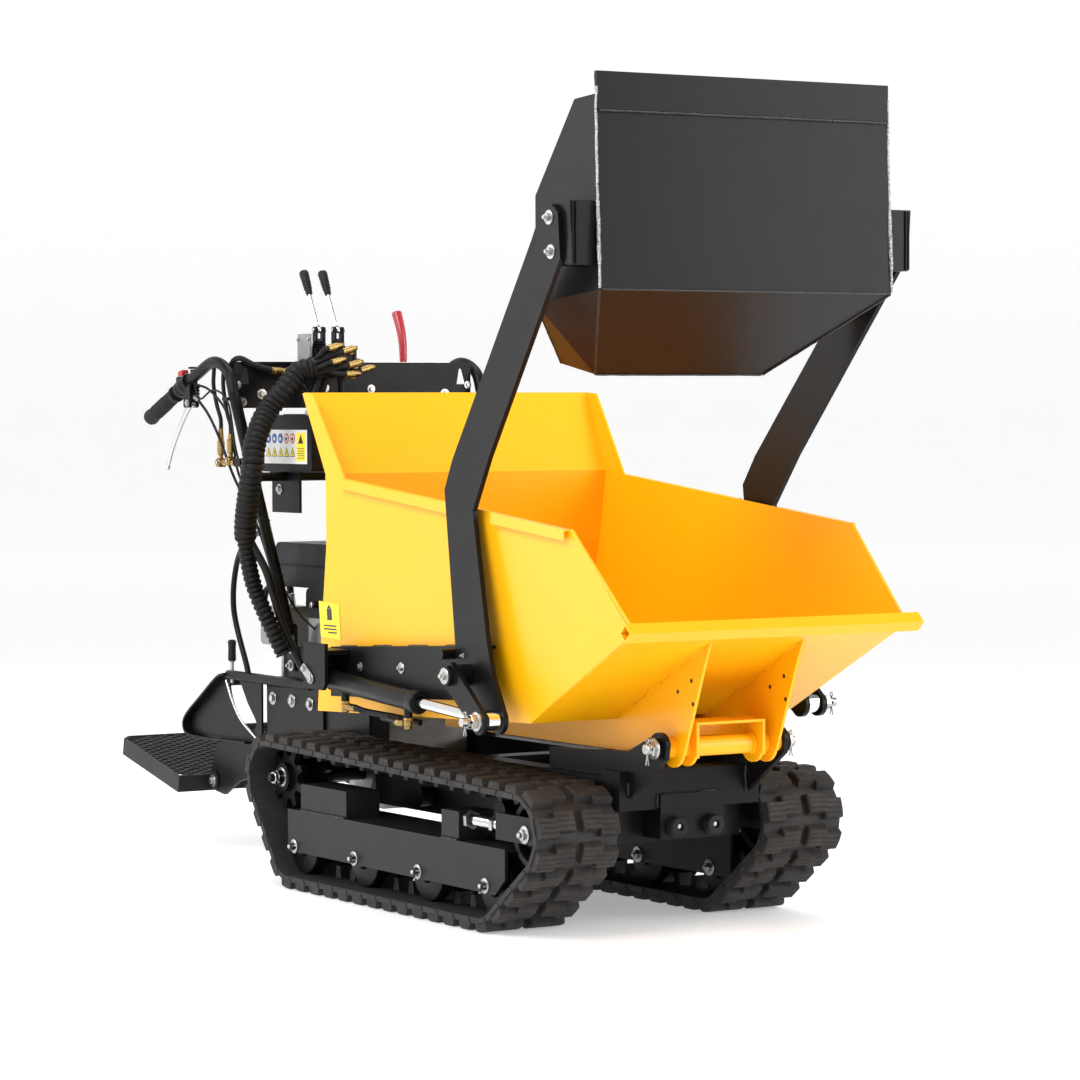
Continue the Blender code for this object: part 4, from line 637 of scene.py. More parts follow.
def make_hinge_ends(side):
    """Castle nuts, washers and split pins on the skip's hinge pin."""
    z = kit("chassis", ZINC)
    out = (side, 0, 0)
    lathe(z, on_side(side, -0.1496, *TIP), out,
          [(0, 0.010), (0, 0.0205), (0.0026, 0.0205), (0.0032, 0.0190), (0.0032, 0.010)], 36)
    lathe(z, on_side(side, -0.1527, *TIP), out,
          [(0, 0.0158), (0.0070, 0.0158), (0.0078, 0.0145), (0.0078, 0.0105)], 6, 0.2)
    lathe(z, on_side(side, -0.1600, *TIP), out,
          [(0, 0.0124), (0.0030, 0.0124), (0.0036, 0.0112), (0.0036, 0.0098), (0.0088, 0.0098),
           (0.0096, 0.0088)], 28)
    cotter(z, on_side(side, -0.1640, *TIP))


def make_front_block():
    w = kit("chassis", WELD)
    for s in (-1, 1):
        weld(w, [on_side(s, -0.0742, 0.0190, 0.241), on_side(s, -0.0742, 0.0190, 0.265)], 0.0028)
        weld(w, [on_side(s, -0.1290, 0.0185, 0.262), on_side(s, -0.1290, 0.0190, 0.310)], 0.0030)
        weld(w, [on_side(s, -0.1405, 0.0185, 0.268), on_side(s, -0.1405, 0.0190, 0.292)], 0.0026)
        weld(w, [on_side(s, -0.020, 0.0188, 0.2668), on_side(s, -0.060, 0.0188, 0.2668)], 0.0024)
        name = SIDE[s]
        k = Kit(f"bumper_look_{name}", "chassis", SOFT)
        lathe(k, V(0.041 * s, 0.0117, 0.205), (0, -1, 0),
              [(0, 0.0186), (0.0170, 0.0190), (0.0200, 0.0184), (0.0216, 0.0168), (0.0216, 0.0082),
               (0.0208, 0.0072), (0.0150, 0.0070)], 40)
        k.finish(35, [f"front_bumper_{name}"], "soft_rubber")
        bolt(kit("chassis", ZINC), V(0.041 * s, -0.0035, 0.205), (0, -1, 0), 0.0048, 0.0026, False, 0.2)
        bolt(kit("chassis", ZINC), V(0.041 * s, -0.0030, 0.205), (0, -1, 0), 0.0035, 0.0012, False, 0.2)
    block(kit("chassis", BLACK), V(-0.0735, 0.0112, 0.1805), V(0.0735, 0.0150, 0.2665), 0.0022)


def capsule(a, b, r, steps=8):
    """Outline round two (y, z) points."""
    angle = math.atan2(b[1] - a[1], b[0] - a[0])
    ring = []
    for (y, z), start in ((b, angle - math.pi / 2), (a, angle + math.pi / 2)):
        ring += [(y + r * math.cos(start + math.pi * i / steps),
                  z + r * math.sin(start + math.pi * i / steps)) for i in range(steps + 1)]
    return ring


def make_mount_trim(side):
    """Keeper plate, bolts and weld beads on the channel that carries the arm."""
    z = kit("skip", ZINC)
    w = kit("skip", WELD)
    out = (side, 0, 0)
    low, high = ANCHOR, (0.817, 0.472)
    plate(z, capsule(low, high, 0.0105), 0.4002 * side, 0.4040 * side, 0.0008)
    bolt(z, on_side(side, -0.4040, *high), out, 0.0062, 0.0050, False, 0.3)
    lathe(z, on_side(side, -0.4038, *low), out,
          [(0, 0.0080), (0.0034, 0.0080), (0.0042, 0.0068), (0.0042, 0.0030), (0.0030, 0.0026)], 24)
    bolt(z, on_side(side, -0.3380, 0.532, 0.487), out, 0.0066, 0.0052, True, 0.1, 0.003)
    bolt(z, on_side(side, -0.3380, 0.700, 0.480), out, 0.0054, 0.0042, True, 0.5)
    bolt(z, on_side(side, -0.4068, *ARM_PIVOT), out, 0.0092, 0.0065, True, 0.2, 0.004)
    weld(w, [on_side(side, -0.3395, 0.744, 0.5045), on_side(side, -0.3985, 0.744, 0.5045)], 0.0020)
    weld(w, [on_side(side, -0.3390, 0.8165, 0.440), on_side(side, -0.3390, 0.8165, 0.508)], 0.0022)
    for a, b in ((0.330, 0.400), (0.470, 0.540), (0.610, 0.680), (0.750, 0.810)):
        za, zb = (0.547 - (y - 0.216) * 0.0544 for y in (a, b))
        weld(w, [wall_point(side, a, za + 0.0006, 0.0012), wall_point(side, b, zb + 0.0006, 0.0012)], 0.0017)


# ---------------------------------------------------------------- arms and shovel

def make_arm_trim(side):
    z = kit("arms", ZINC)
    out = (side, 0, 0)
    for x, zz in ((-0.3926, 1.343), (-0.3890, 1.281)):
        bolt(z, on_side(side, x, -0.109, zz), out, 0.0078, 0.0066, True, 0.3, 0.005)
    lathe(z, on_side(side, -0.3940, *CLEVIS), out,
          [(0, 0.009), (0, 0.0185), (0.0074, 0.0185), (0.0084, 0.0172), (0.0084, 0.009)], 36)
    lathe(z, on_side(side, -0.4022, *CLEVIS), out,
          [(0, 0.0150), (0.0120, 0.0150), (0.0130, 0.0138), (0.0130, 0.010)], 6, 0.15)
    lathe(z, on_side(side, -0.4150, *CLEVIS), out,
          [(0, 0.0122), (0.0044, 0.0122), (0.0052, 0.0110), (0.0052, 0.0086), (0.0178, 0.0086),
           (0.0186, 0.0076)], 28)
    cotter(z, on_side(side, -0.4245, *CLEVIS), 0.026)
    w = kit("arms", WELD)
    ring = [on_side(side, -0.3952, ARM_PIVOT[0] + 0.0215 * math.cos(a), ARM_PIVOT[1] + 0.0215 * math.sin(a))
            for a in (math.radians(24 * i) for i in range(16))]
    weld(w, ring, 0.0011)
    lathe(z, on_side(side, -0.3540, 0.262, 0.527), out,
          [(0, 0.0042), (0.004, 0.0042), (0.0048, 0.0026), (0.008, 0.0026), (0.009, 0.0018)], 16)
    b = kit("arms", BLACK)
    for x0, x1, y in ((-0.3740, -0.3700, -0.1695), (-0.3810, -0.3770, -0.1685)):
        block_on(b, side, x0, x1, y, -0.090, 1.258, 1.370, 0.0012)


def make_shovel_trim():
    w = kit("arms", WELD)
    weld(w, [V(-0.326, -0.1712, 1.5352), V(0.326, -0.1712, 1.5352)], 0.0026, 0.0060)
    weld(w, [V(-0.326, -0.1800, 1.2120), V(0.326, -0.1800, 1.2120)], 0.0021, 0.0060)
    # The corner seams are real welds; drawing them in bright metal is a painted highlight along the shovel's
    # corner edges.
    bright = kit("arms", BRIGHT_WELD)
    for side in (-1, 1):
        weld(bright, [on_side(side, -0.3285, -0.1690, 1.578), on_side(side, -0.3290, -0.1680, 1.530),
                      on_side(side, -0.3290, -0.1730, 1.372)], 0.0026, 0.0052)
        weld(bright, [on_side(side, -0.3290, -0.1730, 1.372), on_side(side, -0.3290, -0.1790, 1.256)],
             0.0036, 0.0050)
        weld(bright, [on_side(side, -0.3290, -0.1790, 1.256), on_side(side, -0.3290, -0.1795, 1.214)],
             0.0026, 0.0052)
        weld(w, [on_side(side, -0.328, -0.1770, 1.2105), on_side(side, -0.1925, 0.0500, 1.0610)], 0.0024,
             0.0060)
        weld(w, [on_side(side, -0.3285, 0.0430, 1.1930), on_side(side, -0.1925, 0.1700, 1.0835)], 0.0018,
             0.0060)
    weld(w, [V(-0.190, 0.0522, 1.0600), V(0.190, 0.0522, 1.0600)], 0.0018, 0.0060)


# ---------------------------------------------------------------- hydraulic cylinders

def cylinder_axis(base, eye):
    length = math.hypot(eye[0] - base[0], eye[1] - base[1])
    return Vector((0, (eye[0] - base[0]) / length, (eye[1] - base[1]) / length)), length


def eye_ring(k, at, half, outer, inner):
    lathe(k, Vector(at) - Vector((half, 0, 0)), (1, 0, 0),
          [(0, inner), (0, outer - 0.001), (0.001, outer), (2 * half - 0.001, outer),
           (2 * half, outer - 0.001), (2 * half, inner)], 36, closed=True)


def make_lift_cylinder(side):
    name = SIDE[side]
    body = f"lift_barrel_{name}_body"
    d, length = cylinder_axis(ANCHOR, CLEVIS)
    base = on_side(side, -LIFT_X, *ANCHOR)
    k = Kit(f"lift_barrel_look_{name}", body, BLACK)
    lathe(k, base, d, [(0.018, 0.0115), (0.0185, 0.0150), (0.024, 0.0168), (0.034, 0.0172),
                       (0.0345, 0.0192), (0.036, 0.0200), (0.3585, 0.0200), (0.3590, 0.0224),
                       (0.3610, 0.0230), (0.3835, 0.0230), (0.3858, 0.0212), (0.3860, 0.0140),
                       (0.3845, 0.0132), (0.3845, 0.0115)], 44, closed=True)
    eye_ring(k, base, 0.018, 0.0210, 0.0099)
    k.finish(30, [f"lift_barrel_{name}"], "black_paint")
    sideways = Vector((1, 0, 0))
    bead = [base + d * 0.0350 + (sideways * math.cos(a) + d.cross(sideways) * math.sin(a)) * 0.0190
            for a in (math.radians(24 * i) for i in range(16))]
    weld(kit(body, WELD), bead, 0.0019)
    k = Kit(f"lift_rod_look_{name}", f"lift_rod_{name}_body", CHROME)
    lathe(k, base, d, [(0.256, 0.0108), (length - 0.016, 0.0108)], 40)
    eye_ring(k, on_side(side, -LIFT_X, *CLEVIS), 0.0155, 0.0188, 0.0086)
    k.finish(30, [f"lift_rod_{name}"], "hard_chrome")
    brass, black = kit(body, BRASS), kit(body, BLACK)
    down = Vector((0, 0, -1))
    ports = [(0.086, -1, [(0.700, 0.3965), (0.640, 0.3950), (0.560, 0.3880), (0.500, 0.3800)]),
             (0.340, 1, [(0.456, 0.3840), (0.520, 0.3850), (0.590, 0.3820), (0.650, 0.3780)])]
    for along, lead, run in ports:
        top = base + d * along + down * 0.0185
        lathe(black, top, down, [(0, 0.0085), (0.016, 0.0085), (0.0175, 0.0075)], 24)
        lathe(brass, top + down * 0.017, down, [(0, 0.0088), (0.0050, 0.0092), (0.0058, 0.0080)], 6, 0.2)
        lathe(brass, top + down * 0.022, down,
              [(0, 0.0060), (0.0010, 0.0086), (0.0105, 0.0086), (0.0115, 0.0060)], 26)
        lathe(brass, top + down * 0.0335, down, [(0, 0.0078), (0.0052, 0.0078), (0.0060, 0.0066)], 6, 0.5)
        heart = top + down * 0.0278
        heading = Vector((0, lead, -0.02)).normalized()
        lathe(brass, heart, heading,
              [(0.006, 0.0048), (0.013, 0.0048), (0.0135, 0.0072), (0.0165, 0.0076), (0.0190, 0.0064),
               (0.0215, 0.0076), (0.0240, 0.0064), (0.0265, 0.0076), (0.0290, 0.0064), (0.0320, 0.0076),
               (0.0420, 0.0076), (0.0430, 0.0060)], 26)
        points = [heart + heading * 0.036, heart + heading * 0.052]
        points += [on_side(side, dx - LIFT_X, y, z) for dx, (y, z) in zip((0.010, 0.034, 0.056), run[1:])]
        tube(kit(body, HOSE), curve(points, 0.008), 0.0064, 16)


def make_tip_cylinder():
    d, length = cylinder_axis(TIP_BASE, TIP_EYE)
    base = V(0, *TIP_BASE)
    k = Kit("tip_barrel_look", "tip_barrel_body", BLACK)
    lathe(k, base, d, [(0.020, 0.0126), (0.022, 0.0190), (0.034, 0.0205), (0.036, 0.0240), (0.297, 0.0240),
                       (0.2975, 0.0262), (0.3000, 0.0270), (0.3210, 0.0270), (0.3240, 0.0250),
                       (0.3240, 0.0126)], 44, closed=True)
    eye_ring(k, base, 0.0198, 0.0245, 0.0088)
    k.finish(30, ["tip_barrel"], "black_paint")
    k = Kit("tip_rod_look", "tip_rod_body", CHROME)
    lathe(k, base, d, [(0.072, 0.0118), (length - 0.016, 0.0118)], 40)
    eye_ring(k, V(0, *TIP_EYE), 0.0198, 0.0188, 0.0086)
    k.finish(30, ["tip_rod"], "hard_chrome")


make_skip_trim()
make_front_block()
make_shovel_trim()
make_tip_cylinder()
for s in (-1, 1):
    make_hinge_ends(s)
    make_mount_trim(s)
    make_arm_trim(s)
    make_lift_cylinder(s)

# ---------------------------------------------------------------- handlebars and levers

HANDLE_FOOT = (-0.175, 1.308, 0.520)
HANDLE_LINE = [(-0.310, 1.300, 1.030), (-0.310, 1.325, 1.078), (-0.310, 1.392, 1.100),
               (-0.310, 1.470, 1.076), (-0.310, 1.560, 1.039), (-0.310, 1.700, 0.982)]
HANDLE_X, TUBE_R = 0.310, 0.0125
PERCH = (1.500, 1.012)
GRIP_AXIS = Vector((0, 0.140, -0.057)).normalized()


def handle_rear(side, t):
    a, b = (on_side(side, *p) for p in HANDLE_LINE[-2:])
    return a + (b - a) * t


def make_handlebar(side):
    name = SIDE[side]
    k = Kit(f"handlebar_look_{name}", "chassis", BLACK)
    bend = curve([on_side(side, *p) for p in HANDLE_LINE], 0.006)
    tube(k, line(on_side(side, *HANDLE_FOOT), bend[0], 0.05)[:-1] + bend, TUBE_R, 28)
    block_on(k, side, -0.1708, -0.1630, 1.290, 1.328, 0.428, 0.532, 0.003)
    tube(k, line(on_side(side, -0.1700, 1.308, 0.508), on_side(side, *HANDLE_FOOT), 0.02)
         + [on_side(side, -0.179, 1.3078, 0.536)], [0.0095, 0.0118, 0.0125], 24)
    lathe(k, handle_rear(side, -0.36), GRIP_AXIS,
          [(0, 0.0130), (0.0008, 0.0188), (0.0140, 0.0194), (0.0150, 0.0178), (0.0190, 0.0178),
           (0.0200, 0.0194), (0.0350, 0.0194), (0.0360, 0.0180), (0.0395, 0.0180), (0.0405, 0.0194),
           (0.0505, 0.0190), (0.0512, 0.0130)], 36)
    for x in (-0.0116, 0.0064):
        block_on(k, side, -HANDLE_X + x, -HANDLE_X + x + 0.0052, PERCH[0] - 0.0122, PERCH[0] + 0.0215,
                 PERCH[1] - 0.0105, PERCH[1] + 0.042, 0.0016)
    for i in range(5):
        z = PERCH[1] + 0.004 + 0.0070 * i
        block_on(k, side, -HANDLE_X - 0.0128, -HANDLE_X + 0.0128, PERCH[0] - 0.0145, PERCH[0] - 0.0080, z,
                 z + 0.0034, 0.0008)
    weld(kit("chassis", WELD),
         [on_side(side, -0.1640, 1.3285, 0.515), on_side(side, -0.1700, 1.3285, 0.515)], 0.0016)
    if side < 0:
        block_on(k, side, -HANDLE_X - 0.0120, -HANDLE_X + 0.0120, 1.530, 1.557, 1.050, 1.0702, 0.0025)
        lathe(k, V(-HANDLE_X, 1.492, 1.070), (0, 0, 1),
              [(-0.004, 0.0065), (0.004, 0.0072), (0.0148, 0.0072), (0.0150, 0.0060)], 24)
    k.finish(35, [f"handlebar_{name}"], "black_paint")
    z = kit("chassis", ZINC)
    for zz in (0.479, 0.441):
        bolt(z, on_side(side, -0.1708, 1.309, zz), (side, 0, 0), 0.0072, 0.0056, True, 0.3, 0.005)
    bolt(z, on_side(side, -HANDLE_X - 0.0118, *PERCH), (side, 0, 0), 0.0045, 0.0030, True, 0.2)
    bolt(z, on_side(side, -HANDLE_X + 0.0118, *PERCH), (-side, 0, 0), 0.0045, 0.0030, False, 0.2)
    for t in (-0.30, -0.10):
        screw = handle_rear(side, t) + Vector((0, 0.006, 0.0175))
        bolt(z, screw, (0, 0.38, 0.92), 0.0036, 0.0030, False, 0.1)
    adjuster = on_side(side, -HANDLE_X, PERCH[0] - 0.011, PERCH[1] + 0.014)
    lathe(z, adjuster, (0, -0.92, -0.38),
          [(0, 0.0044), (0.006, 0.0052), (0.007, 0.0040), (0.010, 0.0058), (0.014, 0.0058), (0.015, 0.0034),
           (0.022, 0.0034), (0.023, 0.0024)], 20)


def make_grip(side):
    name = SIDE[side]
    k = Kit(f"grip_{name}", "chassis", SOFT)
    profile = [(0.0, 0.0133), (0.0002, 0.0182), (0.0012, 0.0190), (0.0060, 0.0190), (0.0072, 0.0176),
               (0.0100, 0.0166)]
    for i in range(9):
        d = 0.0150 + 0.0040 * i
        profile += [(d, 0.0164), (d + 0.0008, 0.0155), (d + 0.0020, 0.0155), (d + 0.0028, 0.0164)]
    for i in range(6):
        d = 0.0560 + 0.0095 * i
        profile += [(d, 0.0163), (d + 0.0012, 0.0172), (d + 0.0046, 0.0172), (d + 0.0058, 0.0158),
                    (d + 0.0084, 0.0158)]
    profile += [(0.1160, 0.0163), (0.1270, 0.0165), (0.1330, 0.0178), (0.1400, 0.0180), (0.1440, 0.0168),
                (0.1452, 0.0140), (0.1454, 0.0080)]
    lathe(k, handle_rear(side, 0.10), GRIP_AXIS, profile, 40)
    k.finish(32, [f"hand_grip_{name}"], "soft_rubber")


def make_brake_lever(side):
    name = SIDE[side]
    x = -HANDLE_X
    k = Kit(f"brake_lever_look_{name}", f"brake_{name}", STEEL)
    path = curve([on_side(side, x, *PERCH), on_side(side, x, 1.534, 0.984), on_side(side, x, 1.585, 0.927),
                  on_side(side, x, 1.622, 0.870)], 0.005)
    n = len(path)
    tube(k, path, [0.0060 - 0.0020 * i / n for i in range(n)], 20)
    lathe(k, on_side(side, x - 0.0060, *PERCH), (-side, 0, 0),
          [(0, 0.0070), (0.001, 0.0085), (0.011, 0.0085), (0.012, 0.0070)], 28)
    tip = path[-1]
    ball(k, tip, 0.0066, 24)
    k.finish(45, [f"brake_lever_{name}"], "hard_chrome")


def make_cables(side):
    rubber = kit("chassis", HOSE)
    x = -HANDLE_X
    start = on_side(side, x, PERCH[0] - 0.030, PERCH[1] + 0.006)
    mid = [(x + 0.006, 1.432, 0.985), (x + 0.010, 1.385, 0.930), (x + 0.026, 1.352, 0.850),
           (x + 0.072, 1.330, 0.740), (-0.196, 1.322, 0.600), (-0.150, 1.330, 0.470)]
    tube(rubber, curve([start] + [on_side(side, *p) for p in mid], 0.012), 0.0031, 12)
    mid = [(x + 0.004, 1.425, 1.040), (x + 0.014, 1.372, 1.000), (x + 0.020, 1.345, 0.940),
           (x + 0.030, 1.340, 0.860), (x + 0.080, 1.322, 0.730), (-0.188, 1.330, 0.590),
           (-0.148, 1.340, 0.480)]
    tube(rubber, curve([on_side(side, x, 1.478, 1.052)] + [on_side(side, *p) for p in mid], 0.012), 0.0027,
         12)
    if side < 0:
        mid = [(x - 0.004, 1.455, 1.020), (x + 0.002, 1.400, 1.040), (x + 0.012, 1.350, 1.010),
               (x + 0.022, 1.330, 0.900), (x + 0.060, 1.320, 0.780), (-0.200, 1.312, 0.640),
               (-0.160, 1.300, 0.560), (-0.130, 1.275, 0.520)]
        tube(rubber, curve([on_side(side, x, 1.492, 1.062)] + [on_side(side, *p) for p in mid], 0.012),
             0.0023, 12)
    for z in (0.900, 0.760, 0.640):
        t = (z - HANDLE_FOOT[2]) / (HANDLE_LINE[0][2] - HANDLE_FOOT[2])
        at = on_side(side, HANDLE_FOOT[0] + (HANDLE_LINE[0][0] - HANDLE_FOOT[0]) * t, 1.308 - 0.008 * t, z)
        lathe(kit("chassis", PLASTIC), at - Vector((0, 0, 0.002)), (-0.26 * side, 0, 1),
              [(0, 0.0128), (0, 0.0148), (0.004, 0.0148), (0.004, 0.0128)], 28)


def make_small_levers():
    k = Kit("throttle_lever_look", "throttle_lever_body", PLASTIC)
    lathe(k, V(-HANDLE_X, 1.492, 1.0862), (0, 0, 1),
          [(0, 0.0100), (0.0004, 0.0118), (0.0036, 0.0120), (0.0046, 0.0108), (0.0048, 0.0040)], 32)
    block(k, V(-HANDLE_X + 0.006, 1.4872, 1.0868), V(-HANDLE_X + 0.044, 1.4968, 1.0906), 0.0014)
    lathe(k, V(-HANDLE_X + 0.042, 1.492, 1.0866), (0, 0, 1),
          [(0, 0.0050), (0.0004, 0.0060), (0.0038, 0.0060), (0.0042, 0.0050)], 24)
    k.finish(35, ["throttle_lever"], "black_plastic")
    bolt(kit("throttle_lever_body", ZINC), V(-HANDLE_X, 1.492, 1.0906), (0, 0, 1), 0.0034, 0.0004, False)
    k = Kit("kill_switch_look", "kill_switch_body", RED)
    outline = [(1.5338, 1.0710), (1.5532, 1.0710), (1.5553, 1.0788), (1.5538, 1.0805), (1.5345, 1.0842),
               (1.5318, 1.0828)]
    plate(k, outline, -HANDLE_X - 0.0080, -HANDLE_X + 0.0080, 0.0010)
    for i in range(3):
        block(k, V(-HANDLE_X - 0.0065, 1.5372 + 0.0048 * i, 1.0800),
              V(-HANDLE_X + 0.0065, 1.5392 + 0.0048 * i, 1.0846 - 0.0010 * i), 0.0004)
    k.finish(35, ["kill_switch"], "red_plastic")
    k = Kit("drive_lever_look", "drive_lever_body", RED)
    x, y, z = 0.136, 1.352, 1.060
    path = curve([V(x, y, z), V(x, y - 0.004, z + 0.050), V(x, y + 0.002, z + 0.100),
                  V(x, y + 0.024, z + 0.150)], 0.006)
    n = len(path)
    radii = [0.0080 + 0.0036 * max(0.0, (i / n - 0.25) / 0.75) for i in range(n)]
    path += [path[-1] + (path[-1] - path[-2]).normalized() * d for d in (0.0016, 0.0024)]
    tube(k, path, radii + [0.0100, 0.0070], 28)
    lathe(k, V(x - 0.0065, y, z), (1, 0, 0),
          [(0, 0.0085), (0.001, 0.0098), (0.012, 0.0098), (0.013, 0.0085)], 28)
    k.finish(40, ["drive_lever"], "red_plastic")


# ---------------------------------------------------------------- valve, its levers and hoses

VALVE_X = (-0.117, -0.071)
VALVE_Y, VALVE_Z = 1.272, 1.168


def make_valve():
    k = Kit("valve_body", "chassis", BLACK)
    for x0, x1 in ((-0.1502, -0.1390), (-0.1380, -0.0960), (-0.0950, -0.0530), (-0.0520, -0.0418)):
        block(k, V(x0, 1.2378, 1.0722), V(x1, 1.3062, 1.1284), 0.0024)
    for x in VALVE_X:
        lathe(k, V(x, VALVE_Y, 1.126), (0, 0, 1),
              [(0, 0.0190), (0.0040, 0.0190), (0.0046, 0.0164), (0.0080, 0.0168), (0.0100, 0.0142),
               (0.0130, 0.0158), (0.0150, 0.0132), (0.0180, 0.0146), (0.0205, 0.0118), (0.0240, 0.0090)],
              32)
        for e in (-1, 1):
            block(k, V(x + 0.0070 * e - (0.0048 if e < 0 else 0), VALVE_Y - 0.0095, 1.140),
                  V(x + 0.0070 * e + (0.0048 if e > 0 else 0), VALVE_Y + 0.0095, 1.1755), 0.0015)
        lathe(k, V(x, 1.3055, 1.098), (0, 1, 0),
              [(0, 0.0175), (0.004, 0.0175), (0.006, 0.0150), (0.0100, 0.0150), (0.0115, 0.0130)], 28)
    k.finish(35, ["control_valve"], "cast_aluminium")
    block(kit("chassis", CAST), V(-0.1560, 1.2400, 1.0740), V(-0.1506, 1.3000, 1.1600), 0.0016)
    z = kit("chassis", ZINC)
    for y in (1.249, 1.294):
        bolt(z, V(-0.1560, y, 1.085), (-1, 0, 0), 0.0050, 0.0040, True, 0.2)
        bolt(z, V(-0.0418, y, 1.085), (1, 0, 0), 0.0050, 0.0040, True, 0.4)
        bolt(z, V(-0.1560, y, 1.148), (-1, 0, 0), 0.0042, 0.0036, False, 0.1)
    for x in VALVE_X:
        bolt(z, V(x + 0.0130, VALVE_Y, VALVE_Z), (1, 0, 0), 0.0046, 0.0034, False, 0.2)
        bolt(z, V(x - 0.0120, VALVE_Y, VALVE_Z), (-1, 0, 0), 0.0046, 0.0030, False, 0.2)
    lathe(kit("chassis", BRASS), V(-0.030, 1.262, 1.100), (-1, 0, 0),
          [(-0.008, 0.0070), (0.0, 0.0085), (0.010, 0.0085), (0.012, 0.0070)], 6)


def make_valve_lever(number):
    x = VALVE_X[number]
    base = V(x, VALVE_Y, VALVE_Z)
    lean = Vector((0, 0.070, 0.130))
    reach = lean.length
    body = f"valve_lever_{number + 1}_body"
    k = Kit(f"valve_knob_{number + 1}", body, PLASTIC)
    lathe(k, base, lean, [(reach * 0.60, 0.0046), (reach * 0.605, 0.0068), (reach * 0.64, 0.0076),
                          (reach * 0.80, 0.0092), (reach * 0.93, 0.0106), (reach * 0.965, 0.0104),
                          (reach * 0.990, 0.0088), (reach * 0.999, 0.0050)], 32)
    for i in range(3):
        lathe(k, base, lean, [(reach * (0.70 + 0.05 * i), 0.0070),
                              (reach * (0.703 + 0.05 * i), 0.0093 + 0.0004 * i),
                              (reach * (0.712 + 0.05 * i), 0.0093 + 0.0004 * i),
                              (reach * (0.715 + 0.05 * i), 0.0070)], 28)
    k.finish(38, [f"valve_lever_{number + 1}"], "black_plastic")
    c = kit(body, CHROME)
    tube(c, [base + lean * t for t in (0.04, 0.3, 0.62)], 0.0036, 18)
    ball(c, base, 0.0066, 28)
    lathe(c, base, lean, [(0.007, 0.0042), (0.009, 0.0055), (0.015, 0.0055), (0.017, 0.0042)], 6)


SLEEVE_LINE = [(-0.190, 1.232, 1.076), (-0.220, 1.230, 1.045), (-0.262, 1.238, 0.993),
               (-0.300, 1.220, 0.931), (-0.315, 1.211, 0.862), (-0.303, 1.264, 0.745),
               (-0.285, 1.285, 0.668), (-0.262, 1.295, 0.603), (-0.236, 1.270, 0.523),
               (-0.218, 1.252, 0.470)]


